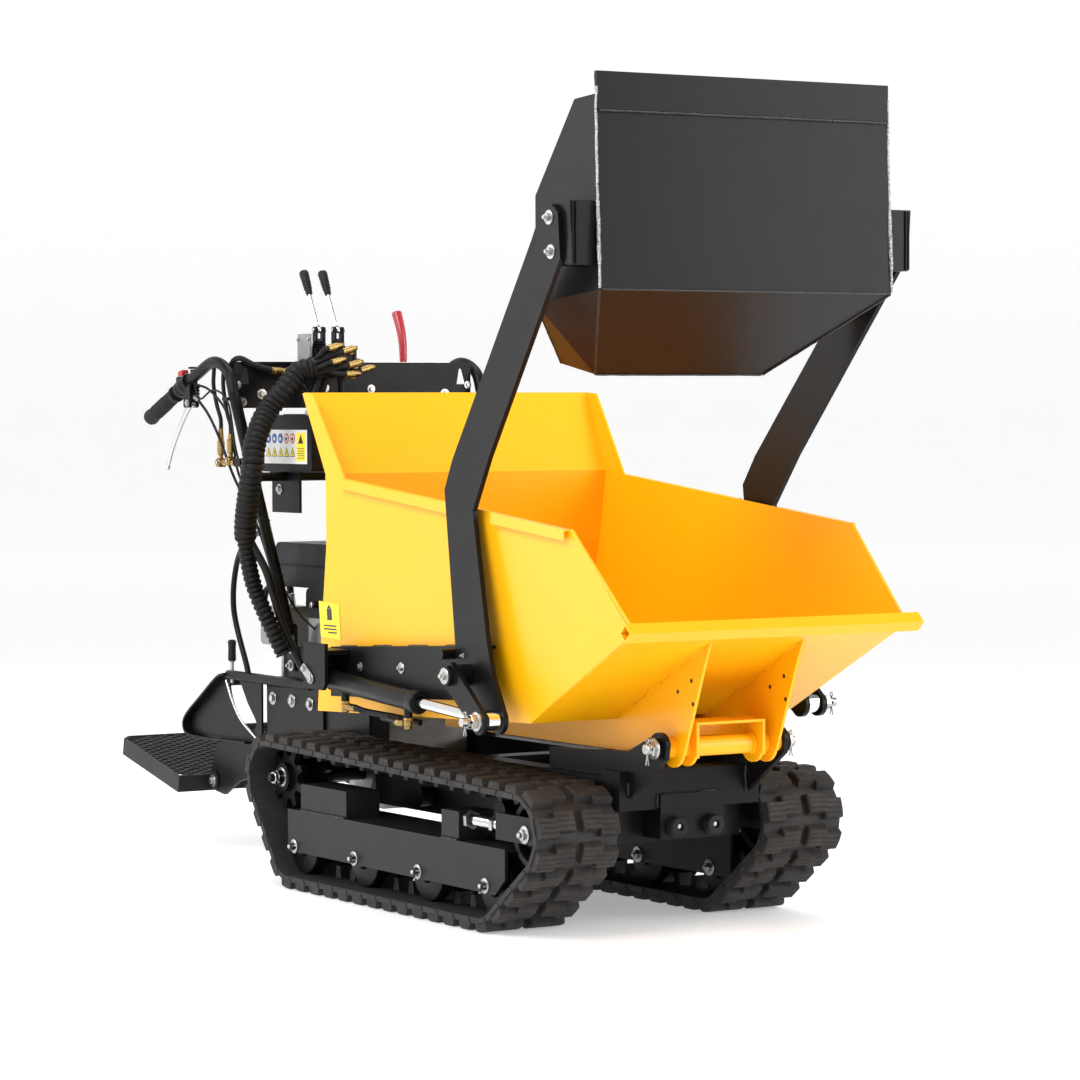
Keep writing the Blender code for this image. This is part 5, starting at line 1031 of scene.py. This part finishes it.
def make_sleeve():
    """Corrugated hose sleeve: wide to below the oil tank, then narrower with the odd hose leaving it."""
    k = Kit("hose_sleeve_look", "chassis", SLEEVE)
    path = curve([V(-0.158, 1.2245, 1.0840)] + [V(*p) for p in SLEEVE_LINE], 0.0012)
    radii, s = [], 0.0
    for i, p in enumerate(path):
        s += (p - path[i - 1]).length if i else 0.0
        wide = min(1.0, max(0.0, (p.z - 0.712) / 0.012))
        outer = 0.0178 + 0.0064 * wide
        wave = abs(math.sin(math.pi * s / 0.0130)) ** 0.6
        radii.append(outer + 0.0006 - 0.0046 * (1 - wave))
    tube(k, path, radii, 32, caps=False)
    mouth = (path[0] - path[4]).normalized()
    lathe(k, path[0] - mouth * 0.004, mouth,
          [(0, 0.0205), (0, 0.0258), (0.004, 0.0262), (0.0075, 0.0258), (0.0078, 0.0225), (0.0010, 0.0222)],
          40)
    k.finish(40, ["hose_sleeve"], "black_plastic")
    rubber, brass = kit("chassis", HOSE), kit("chassis", BRASS)
    u = mouth.orthogonal().normalized()
    w = mouth.cross(u)
    crimps = [(-0.118, 1.204, 1.131), (-0.082, 1.206, 1.125), (-0.112, 1.201, 1.101),
              (-0.069, 1.203, 1.095), (-0.038, 1.207, 1.084), (-0.078, 1.198, 1.073)]
    for i, c in enumerate(crimps):
        a = 2 * math.pi * i / 6 + 0.3
        start = path[0] - mouth * 0.016 + (u * math.cos(a) + w * math.sin(a)) * 0.0128
        aim = Vector((0.95, 0.12, 0.22 if i < 5 else 0.05)).normalized()
        centre = V(*c)
        tail, head = centre - aim * 0.0165, centre + aim * 0.0165
        tube(rubber, curve([start, start + mouth * 0.020, tail - aim * 0.008, tail + aim * 0.002], 0.006),
             0.0061, 16)
        lathe(brass, tail, aim,
              [(0, 0.0060), (0.0006, 0.0076), (0.0035, 0.0078), (0.0042, 0.0070), (0.0062, 0.0070),
               (0.0070, 0.0078), (0.0110, 0.0078), (0.0118, 0.0070), (0.0138, 0.0070), (0.0146, 0.0078),
               (0.0225, 0.0078), (0.0232, 0.0062)], 28)
        lathe(brass, tail, aim, [(0.0232, 0.0072), (0.0300, 0.0072), (0.0306, 0.0062)], 6, 0.2)
        port = V(min(-0.050, c[0] + 0.022), 1.2385, c[2] - 0.004)
        tube(brass, curve([head - aim * 0.004, head + aim * 0.005,
                           (head + aim * 0.008 + port) / 2 + Vector((0.003, 0, 0)), port], 0.003), 0.0046,
             16)
        lathe(brass, port - Vector((0, 0.0065, 0)), (0, 1, 0),
              [(0, 0.0066), (0.0006, 0.0076), (0.0066, 0.0076), (0.0072, 0.0066)], 6)
    step = V(-0.297, 1.276, 0.712)
    tube(rubber, curve([step + Vector((0.004, 0.004, 0.030)), step + Vector((0.012, -0.004, 0.0)),
                        V(-0.262, 1.252, 0.655), V(-0.238, 1.262, 0.600), V(-0.214, 1.270, 0.540),
                        V(-0.190, 1.262, 0.480), V(-0.176, 1.240, 0.430)], 0.008), 0.0085, 18)
    tube(rubber, curve([V(-0.285, 1.345, 1.062), V(-0.296, 1.336, 1.096), V(-0.286, 1.318, 1.1075),
                        V(-0.252, 1.312, 1.092), V(-0.214, 1.306, 1.081)], 0.006), 0.0062, 16)
    lathe(brass, V(-0.216, 1.3065, 1.0812), (0.995, -0.03, -0.08),
          [(0, 0.0060), (0.001, 0.0078), (0.004, 0.0080), (0.005, 0.0072), (0.007, 0.0072), (0.008, 0.0080),
           (0.024, 0.0080), (0.025, 0.0072), (0.027, 0.0072), (0.028, 0.0080), (0.036, 0.0080),
           (0.037, 0.0066), (0.046, 0.0066), (0.047, 0.0050)], 28)
    tube(rubber, curve([V(-0.170, 1.3052, 1.0778), V(-0.155, 1.300, 1.066), V(-0.140, 1.280, 1.040),
                        V(-0.120, 1.250, 1.010)], 0.006), 0.0062, 16)


def make_console_trim():
    z = kit("chassis", ZINC)
    front = (0, -1, 0)
    for x, zz, r in ((-0.277, 1.013, 0.0062), (-0.229, 1.030, 0.0066), (-0.074, 1.043, 0.0056),
                     (0.041, 1.041, 0.0056), (0.277, 1.013, 0.0062), (0.229, 1.030, 0.0066),
                     (-0.288, 1.050, 0.0052), (0.288, 1.050, 0.0052)):
        bolt(z, V(x, 1.3256, zz), front, r, r * 0.75, True, x * 9)
    b = kit("chassis", BLACK)
    for side in (-1, 1):
        block_on(b, side, -0.3245, -0.2955, 1.3010, 1.3300, 1.020 - 0.004, 1.020 + 0.004, 0.0012)
    bolt(z, V(-0.042, 1.300, 1.0722), (0, 0, 1), 0.0045, 0.0036, True, 0.3)
    # Painted highlight: a thin bright steel strip along the console's top edge stands for the glint on that edge.
    light = kit("chassis", STEEL)
    block(light, V(-0.243, 1.3262, 1.0992), V(0.243, 1.3295, 1.1004), 0.0003)


def make_cross_fittings():
    """Brass links and rods that hang beside the right handlebar."""
    brass, rubber, z = kit("chassis", BRASS), kit("chassis", HOSE), kit("chassis", ZINC)
    up = (0, 0, 1)
    for y, low, high in ((1.398, 0.8860, 0.9560), (1.352, 0.8900, 0.9440)):
        lathe(brass, V(-0.292, y, low), up,
              [(0, 0.0045), (0.004, 0.0050), (0.012, 0.0050), (0.014, 0.0078), (0.020, 0.0084),
               (0.042, 0.0084), (0.043, 0.0064), (0.048, 0.0064), (high - low, 0.0050)], 26)
        lathe(brass, V(-0.3015, y, low - 0.004), (1, 0, 0),
              [(0, 0.0090), (0.001, 0.0100), (0.018, 0.0100), (0.019, 0.0090)], 28)
        bolt(z, V(-0.3015, y, low - 0.004), (-1, 0, 0), 0.0048, 0.0030, False, 0.4)
        tube(rubber, curve([V(-0.292, y, high - 0.004), V(-0.292, y, high + 0.020),
                            V(-0.296, y + 0.010, high + 0.050), V(-0.302, y + 0.014, 1.050),
                            V(-0.304, y + 0.006, 1.090)], 0.008), 0.0045, 14)
    lathe(brass, V(-0.292, 1.332, 0.8830), (0, 1, 0),
          [(0, 0.0062), (0.004, 0.0070), (0.080, 0.0070), (0.084, 0.0062)], 24)
    block(kit("chassis", BLACK), V(-0.296, 1.300, 0.874), V(-0.270, 1.336, 0.892), 0.002)


make_sleeve()
make_valve()
make_small_levers()
make_console_trim()
make_cross_fittings()
for number in range(2):
    make_valve_lever(number)
for s in (-1, 1):
    make_handlebar(s)
    make_grip(s)
    make_brake_lever(s)
    make_cables(s)


# ---------------------------------------------------------------- engine, oil tank and step

FRAME_X = 0.157
DECK_TOP = 0.3983
STEP_Y, STEP_Z, STEP_TILT = 1.675, 0.160, math.radians(10.5)
STEP_FRONT, STEP_REAR = 1.700, 2.050
STEP_TOP, STEP_DEEP = 0.168, 0.130


def step_outline(inset):
    """Rim of the step seen from above, as (x, y) points run counter-clockwise."""
    wide, narrow = 0.250 - inset, 0.232 - inset
    y0, y1 = STEP_FRONT + inset, STEP_REAR - inset
    return [(-wide, y0), (wide, y0), (narrow, y1 - 0.020), (narrow - 0.020, y1), (-narrow + 0.020, y1),
            (-narrow, y1 - 0.020)]


def clipped(point, slope, ring):
    """The part of a line inside a convex outline, or None."""
    start, end = -9.0, 9.0
    for a, b in zip(ring, ring[1:] + ring[:1]):
        inward = (a[1] - b[1], b[0] - a[0])
        gap = (point[0] - a[0]) * inward[0] + (point[1] - a[1]) * inward[1]
        rate = slope[0] * inward[0] + slope[1] * inward[1]
        if abs(rate) < 1e-9:
            if gap < 0:
                return None
        elif rate > 0:
            start = max(start, -gap / rate)
        else:
            end = min(end, -gap / rate)
    if end - start < 0.05:
        return None
    return [(point[0] + slope[0] * t, point[1] + slope[1] * t) for t in (start, end)]


def make_step_look():
    """Expanded-metal tread on cross bars, in a flat-bar rim with two pivot ears."""
    k = Kit("step_look", "step", CHARCOAL)
    outer, inner = step_outline(0.0), step_outline(0.0045)
    n = len(outer)
    points = [V(x, y, z) for z in (STEP_DEEP, STEP_TOP) for ring in (outer, inner) for x, y in ring]
    faces = []
    for i in range(n):
        j = (i + 1) % n
        faces += [(i, j, 2 * n + j, 2 * n + i), (n + j, n + i, 3 * n + i, 3 * n + j),
                  (2 * n + i, 2 * n + j, 3 * n + j, 3 * n + i), (j, i, n + i, n + j)]
    k.add(points, faces)
    ring = step_outline(0.003)
    for way in (-1, 1):
        for i in range(-16, 17):
            strand = clipped((0.036 * i, 1.875), (1.0, 0.60 * way), ring)
            if strand:
                tube(k, [V(x, y, STEP_TOP - 0.0034) for x, y in strand], 0.0030, 4)
    for x in (-0.120, 0.0, 0.120):
        block(k, V(x - 0.003, STEP_FRONT + 0.003, STEP_DEEP + 0.006),
              V(x + 0.003, STEP_REAR - 0.003, STEP_TOP - 0.007), 0.0008)
    for y in (1.815, 1.935):
        block(k, V(-0.236, y - 0.003, STEP_DEEP + 0.010), V(0.236, y + 0.003, STEP_TOP - 0.0065), 0.0008)
    ear = [(STEP_Y + 0.020 * math.cos(math.radians(a)), STEP_Z + 0.020 * math.sin(math.radians(a)))
           for a in range(90, 271, 15)]
    ear += [(STEP_FRONT + 0.012, STEP_DEEP + 0.004), (STEP_FRONT + 0.012, STEP_Z + 0.006)]
    for side in (-1, 1):
        plate(k, ear, side * (FRAME_X + 0.0145), side * (FRAME_X + 0.0195))
    pivot = V(0, STEP_Y, STEP_Z)
    turn = Matrix.Translation(pivot) @ Matrix.Rotation(STEP_TILT, 4, "X") @ Matrix.Translation(-pivot)
    k.v = [tuple(turn @ Vector(p)) for p in k.v]
    k.finish(30, ["step_platform"], "charcoal_paint")


def make_frame_bolts():
    z = kit("chassis", ZINC)
    for side in (-1, 1):
        out = (side, 0, 0)
        for y, height in ((1.409, 0.363), (1.320, 0.363), (1.238, 0.361)):
            bolt(z, V(side * 0.1625, y, height), out, 0.0085, 0.0060, True, y * 7)
        bolt(z, V(side * (FRAME_X + 0.0200), STEP_Y, STEP_Z), out, 0.0078, 0.0060, True, 0.2)
    for x in (-0.148, 0.148):
        for y in (1.020, 1.100):
            bolt(z, V(x, y, DECK_TOP), (0, 0, 1), 0.0065, 0.0050, True, y * 5)


def make_drive_linkage():
    """Bowden stay, its small hand lever, and the bright cable down to the tensioner."""
    tube(kit("chassis", BLACK),
         curve([V(-0.226, 1.316, 0.735), V(-0.200, 1.440, 0.715), V(-0.175, 1.552, 0.659),
                V(-0.165, 1.590, 0.551), V(-0.165, 1.529, 0.428), V(-0.165, 1.522, 0.412)], 0.010), 0.0065,
         14)
    lathe(kit("chassis", ZINC), V(-0.165, 1.600, 0.385), (0, 0, 1),
          [(0, 0.0042), (0.046, 0.0042), (0.047, 0.0060), (0.050, 0.0060)], 18)
    lathe(kit("chassis", SOFT), V(-0.165, 1.600, 0.434), (0, 0, 1),
          [(0, 0.0070), (0.003, 0.0092), (0.030, 0.0085), (0.044, 0.0096), (0.048, 0.0060)], 24)
    tube(kit("chassis", STEEL),
         curve([V(-0.175, 1.610, 0.391), V(-0.175, 1.581, 0.348), V(-0.175, 1.538, 0.306),
                V(-0.170, 1.476, 0.270)], 0.008), 0.0028, 12)


def make_tank_label():
    """Safety panel on the oil tank: pictograms without any lettering."""
    face = -0.2000
    out = (-1, 0, 0)
    block(kit("chassis", WHITE), V(face - 0.0005, 1.175, 0.880), V(face + 0.001, 1.370, 0.953), 0)
    block(kit("chassis", LABEL_YELLOW), V(face - 0.0008, 1.183, 0.886), V(face + 0.001, 1.222, 0.947), 0)
    black, white, yellow = (kit("chassis", m) for m in (BLACK_INK_AND_HOLE_SHADE, WHITE, LABEL_YELLOW))
    colours = [LABEL_BLUE, LABEL_BLUE, LABEL_BLUE, LABEL_RED, LABEL_RED]
    for i, colour in enumerate(colours):
        y = 1.350 - 0.0275 * i
        lathe(kit("chassis", colour), V(face, y, 0.9345), out, [(0, 0.0108), (0.0009, 0.0108)], 28)
        if colour is LABEL_RED:
            lathe(white, V(face, y, 0.9345), out, [(0, 0.0076), (0.0012, 0.0076)], 24)
        lathe(black if colour is LABEL_RED else white, V(face, y, 0.9335), out,
              [(0, 0.0042), (0.0015, 0.0042)], 12)
        lathe(black, V(face, y, 0.9020), out, [(0, 0.0136), (0.0009, 0.0136)], 3, -math.pi / 2)
        lathe(yellow, V(face, y, 0.9020), out, [(0, 0.0106), (0.0012, 0.0106)], 3, -math.pi / 2)
        block(black, V(face - 0.0015, y - 0.0010, 0.8990), V(face, y + 0.0010, 0.9070), 0)
    lathe(black, V(face, 1.2025, 0.930), out, [(0, 0.0130), (0.0011, 0.0130)], 3, -math.pi / 2)
    for i in range(5):
        block(black, V(face - 0.0011, 1.187, 0.892 + 0.005 * i),
              V(face, 1.218 - 0.003 * (i % 2), 0.8935 + 0.005 * i), 0)


def make_tank_fittings():
    """Filler cap, banjo unions on the lid of the oil tank, and the hoses that rise to the valve."""
    cap = kit("chassis", PLASTIC)
    lathe(cap, V(0.120, 1.200, 0.984), (0, 0, 1),
          [(0, 0.0235), (0.022, 0.0240), (0.027, 0.0220), (0.029, 0.0150)], 36)
    for i in range(18):
        a = math.radians(20 * i)
        at = V(0.120 + 0.0238 * math.cos(a), 1.200 + 0.0238 * math.sin(a), 0.985)
        lathe(cap, at, (0, 0, 1), [(0, 0.0016), (0.021, 0.0016), (0.023, 0.0008)], 8)
    z = kit("chassis", ZINC)
    rubber = kit("chassis", HOSE)
    for x, y, top in ((-0.150, 1.250, (-0.118, 1.262, 1.086)), (-0.112, 1.272, (-0.096, 1.266, 1.086)),
                      (-0.070, 1.256, (-0.072, 1.262, 1.086))):
        lathe(z, V(x, y, 0.984), (0, 0, 1), [(0, 0.0130), (0.009, 0.0130), (0.010, 0.0115)], 6)
        lathe(z, V(x, y, 0.993), (0, 0, 1), [(0, 0.0092), (0.016, 0.0092), (0.017, 0.0080)], 24)
        tube(rubber, curve([V(x, y, 1.004), V(x, y, 1.030), V(*top)], 0.008), 0.0078, 16)
    for side in (-1, 1):
        bolt(z, V(side * 0.186, 1.327, 0.8240), (side, 0, 0), 0.0070, 0.0055, True, 0.4)
    rim = kit("chassis", BLACK)
    for x in (-0.130, 0.130):
        block(rim, V(x - 0.014, 1.154, 0.9845), V(x + 0.014, 1.389, 0.9870), 0.0008)


def make_engine_trim():
    plastic, zinc, black, soft = (kit("chassis", m) for m in (PLASTIC, ZINC, BLACK, SOFT))
    block(plastic, V(-0.1675, 1.1375, 0.6560), V(0.1525, 1.3945, 0.6625), 0.0025)
    lathe(plastic, V(0.060, 1.260, 0.702), (0, 0, 1),
          [(0, 0.0325), (0.022, 0.0330), (0.027, 0.0305), (0.029, 0.0200)], 40)
    for i in range(20):
        a = math.radians(18 * i)
        lathe(plastic, V(0.060 + 0.0328 * math.cos(a), 1.260 + 0.0328 * math.sin(a), 0.703), (0, 0, 1),
              [(0, 0.0018), (0.021, 0.0018), (0.023, 0.0010)], 8)
    centre = (1.235, DECK_TOP + 0.1060)
    for i in range(24):
        a = math.radians(15 * i)
        for r, size in ((0.082, 0.0050), (0.094, 0.0042)):
            if r > 0.09 and i % 6 == 0:
                bolt(zinc, V(0.1382, centre[0] + r * math.cos(a), centre[1] + r * math.sin(a)), (1, 0, 0),
                     0.0050, 0.0040)
            else:
                lathe(plastic, V(0.1375, centre[0] + r * math.cos(a), centre[1] + r * math.sin(a)),
                      (1, 0, 0), [(0, size), (0.0016, size), (0.0018, size * 0.6)], 12)
    lathe(kit("chassis", CHARCOAL), V(0.1560, *centre), (1, 0, 0),
          [(0, 0.046), (0.0016, 0.045), (0.0020, 0.030), (0.0035, 0.026), (0.0038, 0.008)], 36)
    tube(soft, curve([V(0.148, 1.296, centre[1] + 0.062), V(0.150, 1.310, centre[1] + 0.076),
                      V(0.150, 1.328, centre[1] + 0.084)], 0.004), 0.0095, 18)
    bolt(zinc, V(-0.1780, 1.195, 0.578), (-1, 0, 0), 0.0068, 0.0060, False)
    block(plastic, V(-0.1665, 1.1485, 0.5760), V(-0.0590, 1.2515, 0.5800), 0.0015)
    for i in range(7):
        block(black, V(-0.018 + 0.017 * i, 1.3845, 0.5640), V(-0.011 + 0.017 * i, 1.3860, 0.6000), 0.0005)
    for x in (-0.138, -0.087):
        for height in (DECK_TOP + 0.092, DECK_TOP + 0.152):
            bolt(zinc, V(x, 1.4900, height), (0, 1, 0), 0.0048, 0.0040, False, 0.3)
    outlet = V(-0.100, 1.440, DECK_TOP + 0.163)
    lathe(zinc, outlet, (0, 0, 1), [(0, 0.0115), (0.010, 0.0115), (0.011, 0.0090)], 6)
    hose([outlet + Vector((0, 0, 0.010)), outlet + Vector((-0.004, 0.004, 0.050)),
          V(-0.150, 1.420, DECK_TOP + 0.210), V(-0.205, 1.360, 0.600), V(-0.240, 1.305, 0.560)], 0.0080,
         ends=(True, False))
    lathe(kit("chassis", WHITE), V(0.030, 1.040, DECK_TOP + 0.150), (0.2, -0.3, 1),
          [(0, 0.0065), (0.012, 0.0065), (0.014, 0.0045), (0.022, 0.0045)], 18)
    lathe(soft, V(0.034, 1.034, DECK_TOP + 0.168), (0.2, -0.3, 1),
          [(0, 0.0085), (0.018, 0.0085), (0.024, 0.0060)], 20)
    tube(soft, curve([V(0.038, 1.028, DECK_TOP + 0.190), V(0.060, 1.060, DECK_TOP + 0.215),
                      V(0.095, 1.140, DECK_TOP + 0.165)], 0.008), 0.0036, 12)


make_step_look()
make_frame_bolts()
make_drive_linkage()
make_tank_label()
make_tank_fittings()
make_engine_trim()


# ---------------------------------------------------------------- floor, light and camera

for k in KITS.values():
    k.finish(slot=SLOT_OF.get(k.material.name))


VIEW_AZIMUTH = -31.87
FLOOR_Z = -0.001
FLAT_R, SWEEP_R, WALL_TOP = 16.0, 3.0, 16.0


def make_stage():
    """Round studio: a flat floor that sweeps up into a wall on every side."""
    m, _, p = shader("studio_floor", (0.86, 0.86, 0.86), 0.55)
    p.inputs["Emission Color"].default_value = (1, 1, 1, 1)
    p.inputs["Emission Strength"].default_value = 0.34
    mesh = bpy.data.meshes.new("studio_floor")
    profile = [(r, FLOOR_Z) for r in (0.02, 4.0, 10.0, FLAT_R)]
    profile += [(FLAT_R + SWEEP_R * math.sin(a), FLOOR_Z + SWEEP_R - SWEEP_R * math.cos(a))
                for a in (math.radians(15 * i) for i in range(1, 7))]
    profile += [(FLAT_R + SWEEP_R, z) for z in (9.0, WALL_TOP)]
    n, seg = len(profile), 72
    turns = [2 * math.pi * i / seg for i in range(seg)]
    points = [(r * math.cos(t), r * math.sin(t), z) for t in turns for r, z in profile]
    faces = [(i * n + j, i * n + j + 1, (i + 1) % seg * n + j + 1, (i + 1) % seg * n + j)
             for i in range(seg) for j in range(n - 1)]
    faces.append(tuple(i * n for i in range(seg))[::-1])
    mesh.from_pydata(points, [], faces)
    mesh.shade_smooth()
    mesh.materials.append(m)
    floor = bpy.data.objects.new("studio_floor", mesh)
    bpy.context.scene.collection.objects.link(floor)


def area_light(name, at, target, size, power, colour=(1, 1, 1)):
    data = bpy.data.lights.new(name, "AREA")
    data.energy = power
    data.color = colour
    data.shape = "RECTANGLE"
    data.size, data.size_y = size
    obj = bpy.data.objects.new(name, data)
    bpy.context.scene.collection.objects.link(obj)
    obj.location = at
    obj.rotation_euler = (Vector(target) - Vector(at)).to_track_quat("-Z", "Y").to_euler()
    return obj


def make_light():
    world = bpy.data.worlds.new("studio")
    world.use_nodes = True
    background = world.node_tree.nodes["Background"]
    background.inputs["Color"].default_value = (1.0, 1.0, 1.0, 1)
    background.inputs["Strength"].default_value = 0.30
    bpy.context.scene.world = world
    turn = Matrix.Rotation(math.radians(VIEW_AZIMUTH), 3, "Z")

    def at(x, y, z):
        return turn @ Vector((x, y, z))

    area_light("key", at(-2.6, -3.4, 4.2), (0, 0, 0.7), (3.0, 2.2), 170)
    area_light("side", at(3.8, -1.6, 2.0), (0, 0, 0.7), (1.6, 2.8), 75)
    area_light("left_strip", at(-4.0, 0.5, 1.6), (0, 0, 0.7), (0.9, 3.0), 34)
    area_light("top", at(0.0, 0.4, 4.6), (0, 0, 0.5), (3.4, 3.4), 110)


def make_camera():
    data = bpy.data.cameras.new("camera")
    data.lens, data.sensor_width = 123.94, 36.0
    camera = bpy.data.objects.new("camera", data)
    bpy.context.scene.collection.objects.link(camera)
    azimuth, pitch, roll = (math.radians(a) for a in (VIEW_AZIMUTH, 2.044, -0.21))
    forward = Vector((-math.sin(azimuth) * math.cos(pitch), math.cos(azimuth) * math.cos(pitch),
                      -math.sin(pitch)))
    right = Vector((math.cos(azimuth), math.sin(azimuth), 0))
    up = right.cross(forward)
    right, up = right * math.cos(roll) + up * math.sin(roll), up * math.cos(roll) - right * math.sin(roll)
    turn = Matrix((right, up, -forward)).transposed().to_4x4()
    camera.matrix_world = Matrix.Translation(V(-3.968, -5.825, 0.9995)) @ turn
    bpy.context.scene.camera = camera


make_stage()
make_light()
make_camera()
bpy.context.scene.view_settings.view_transform = "Standard"

import json
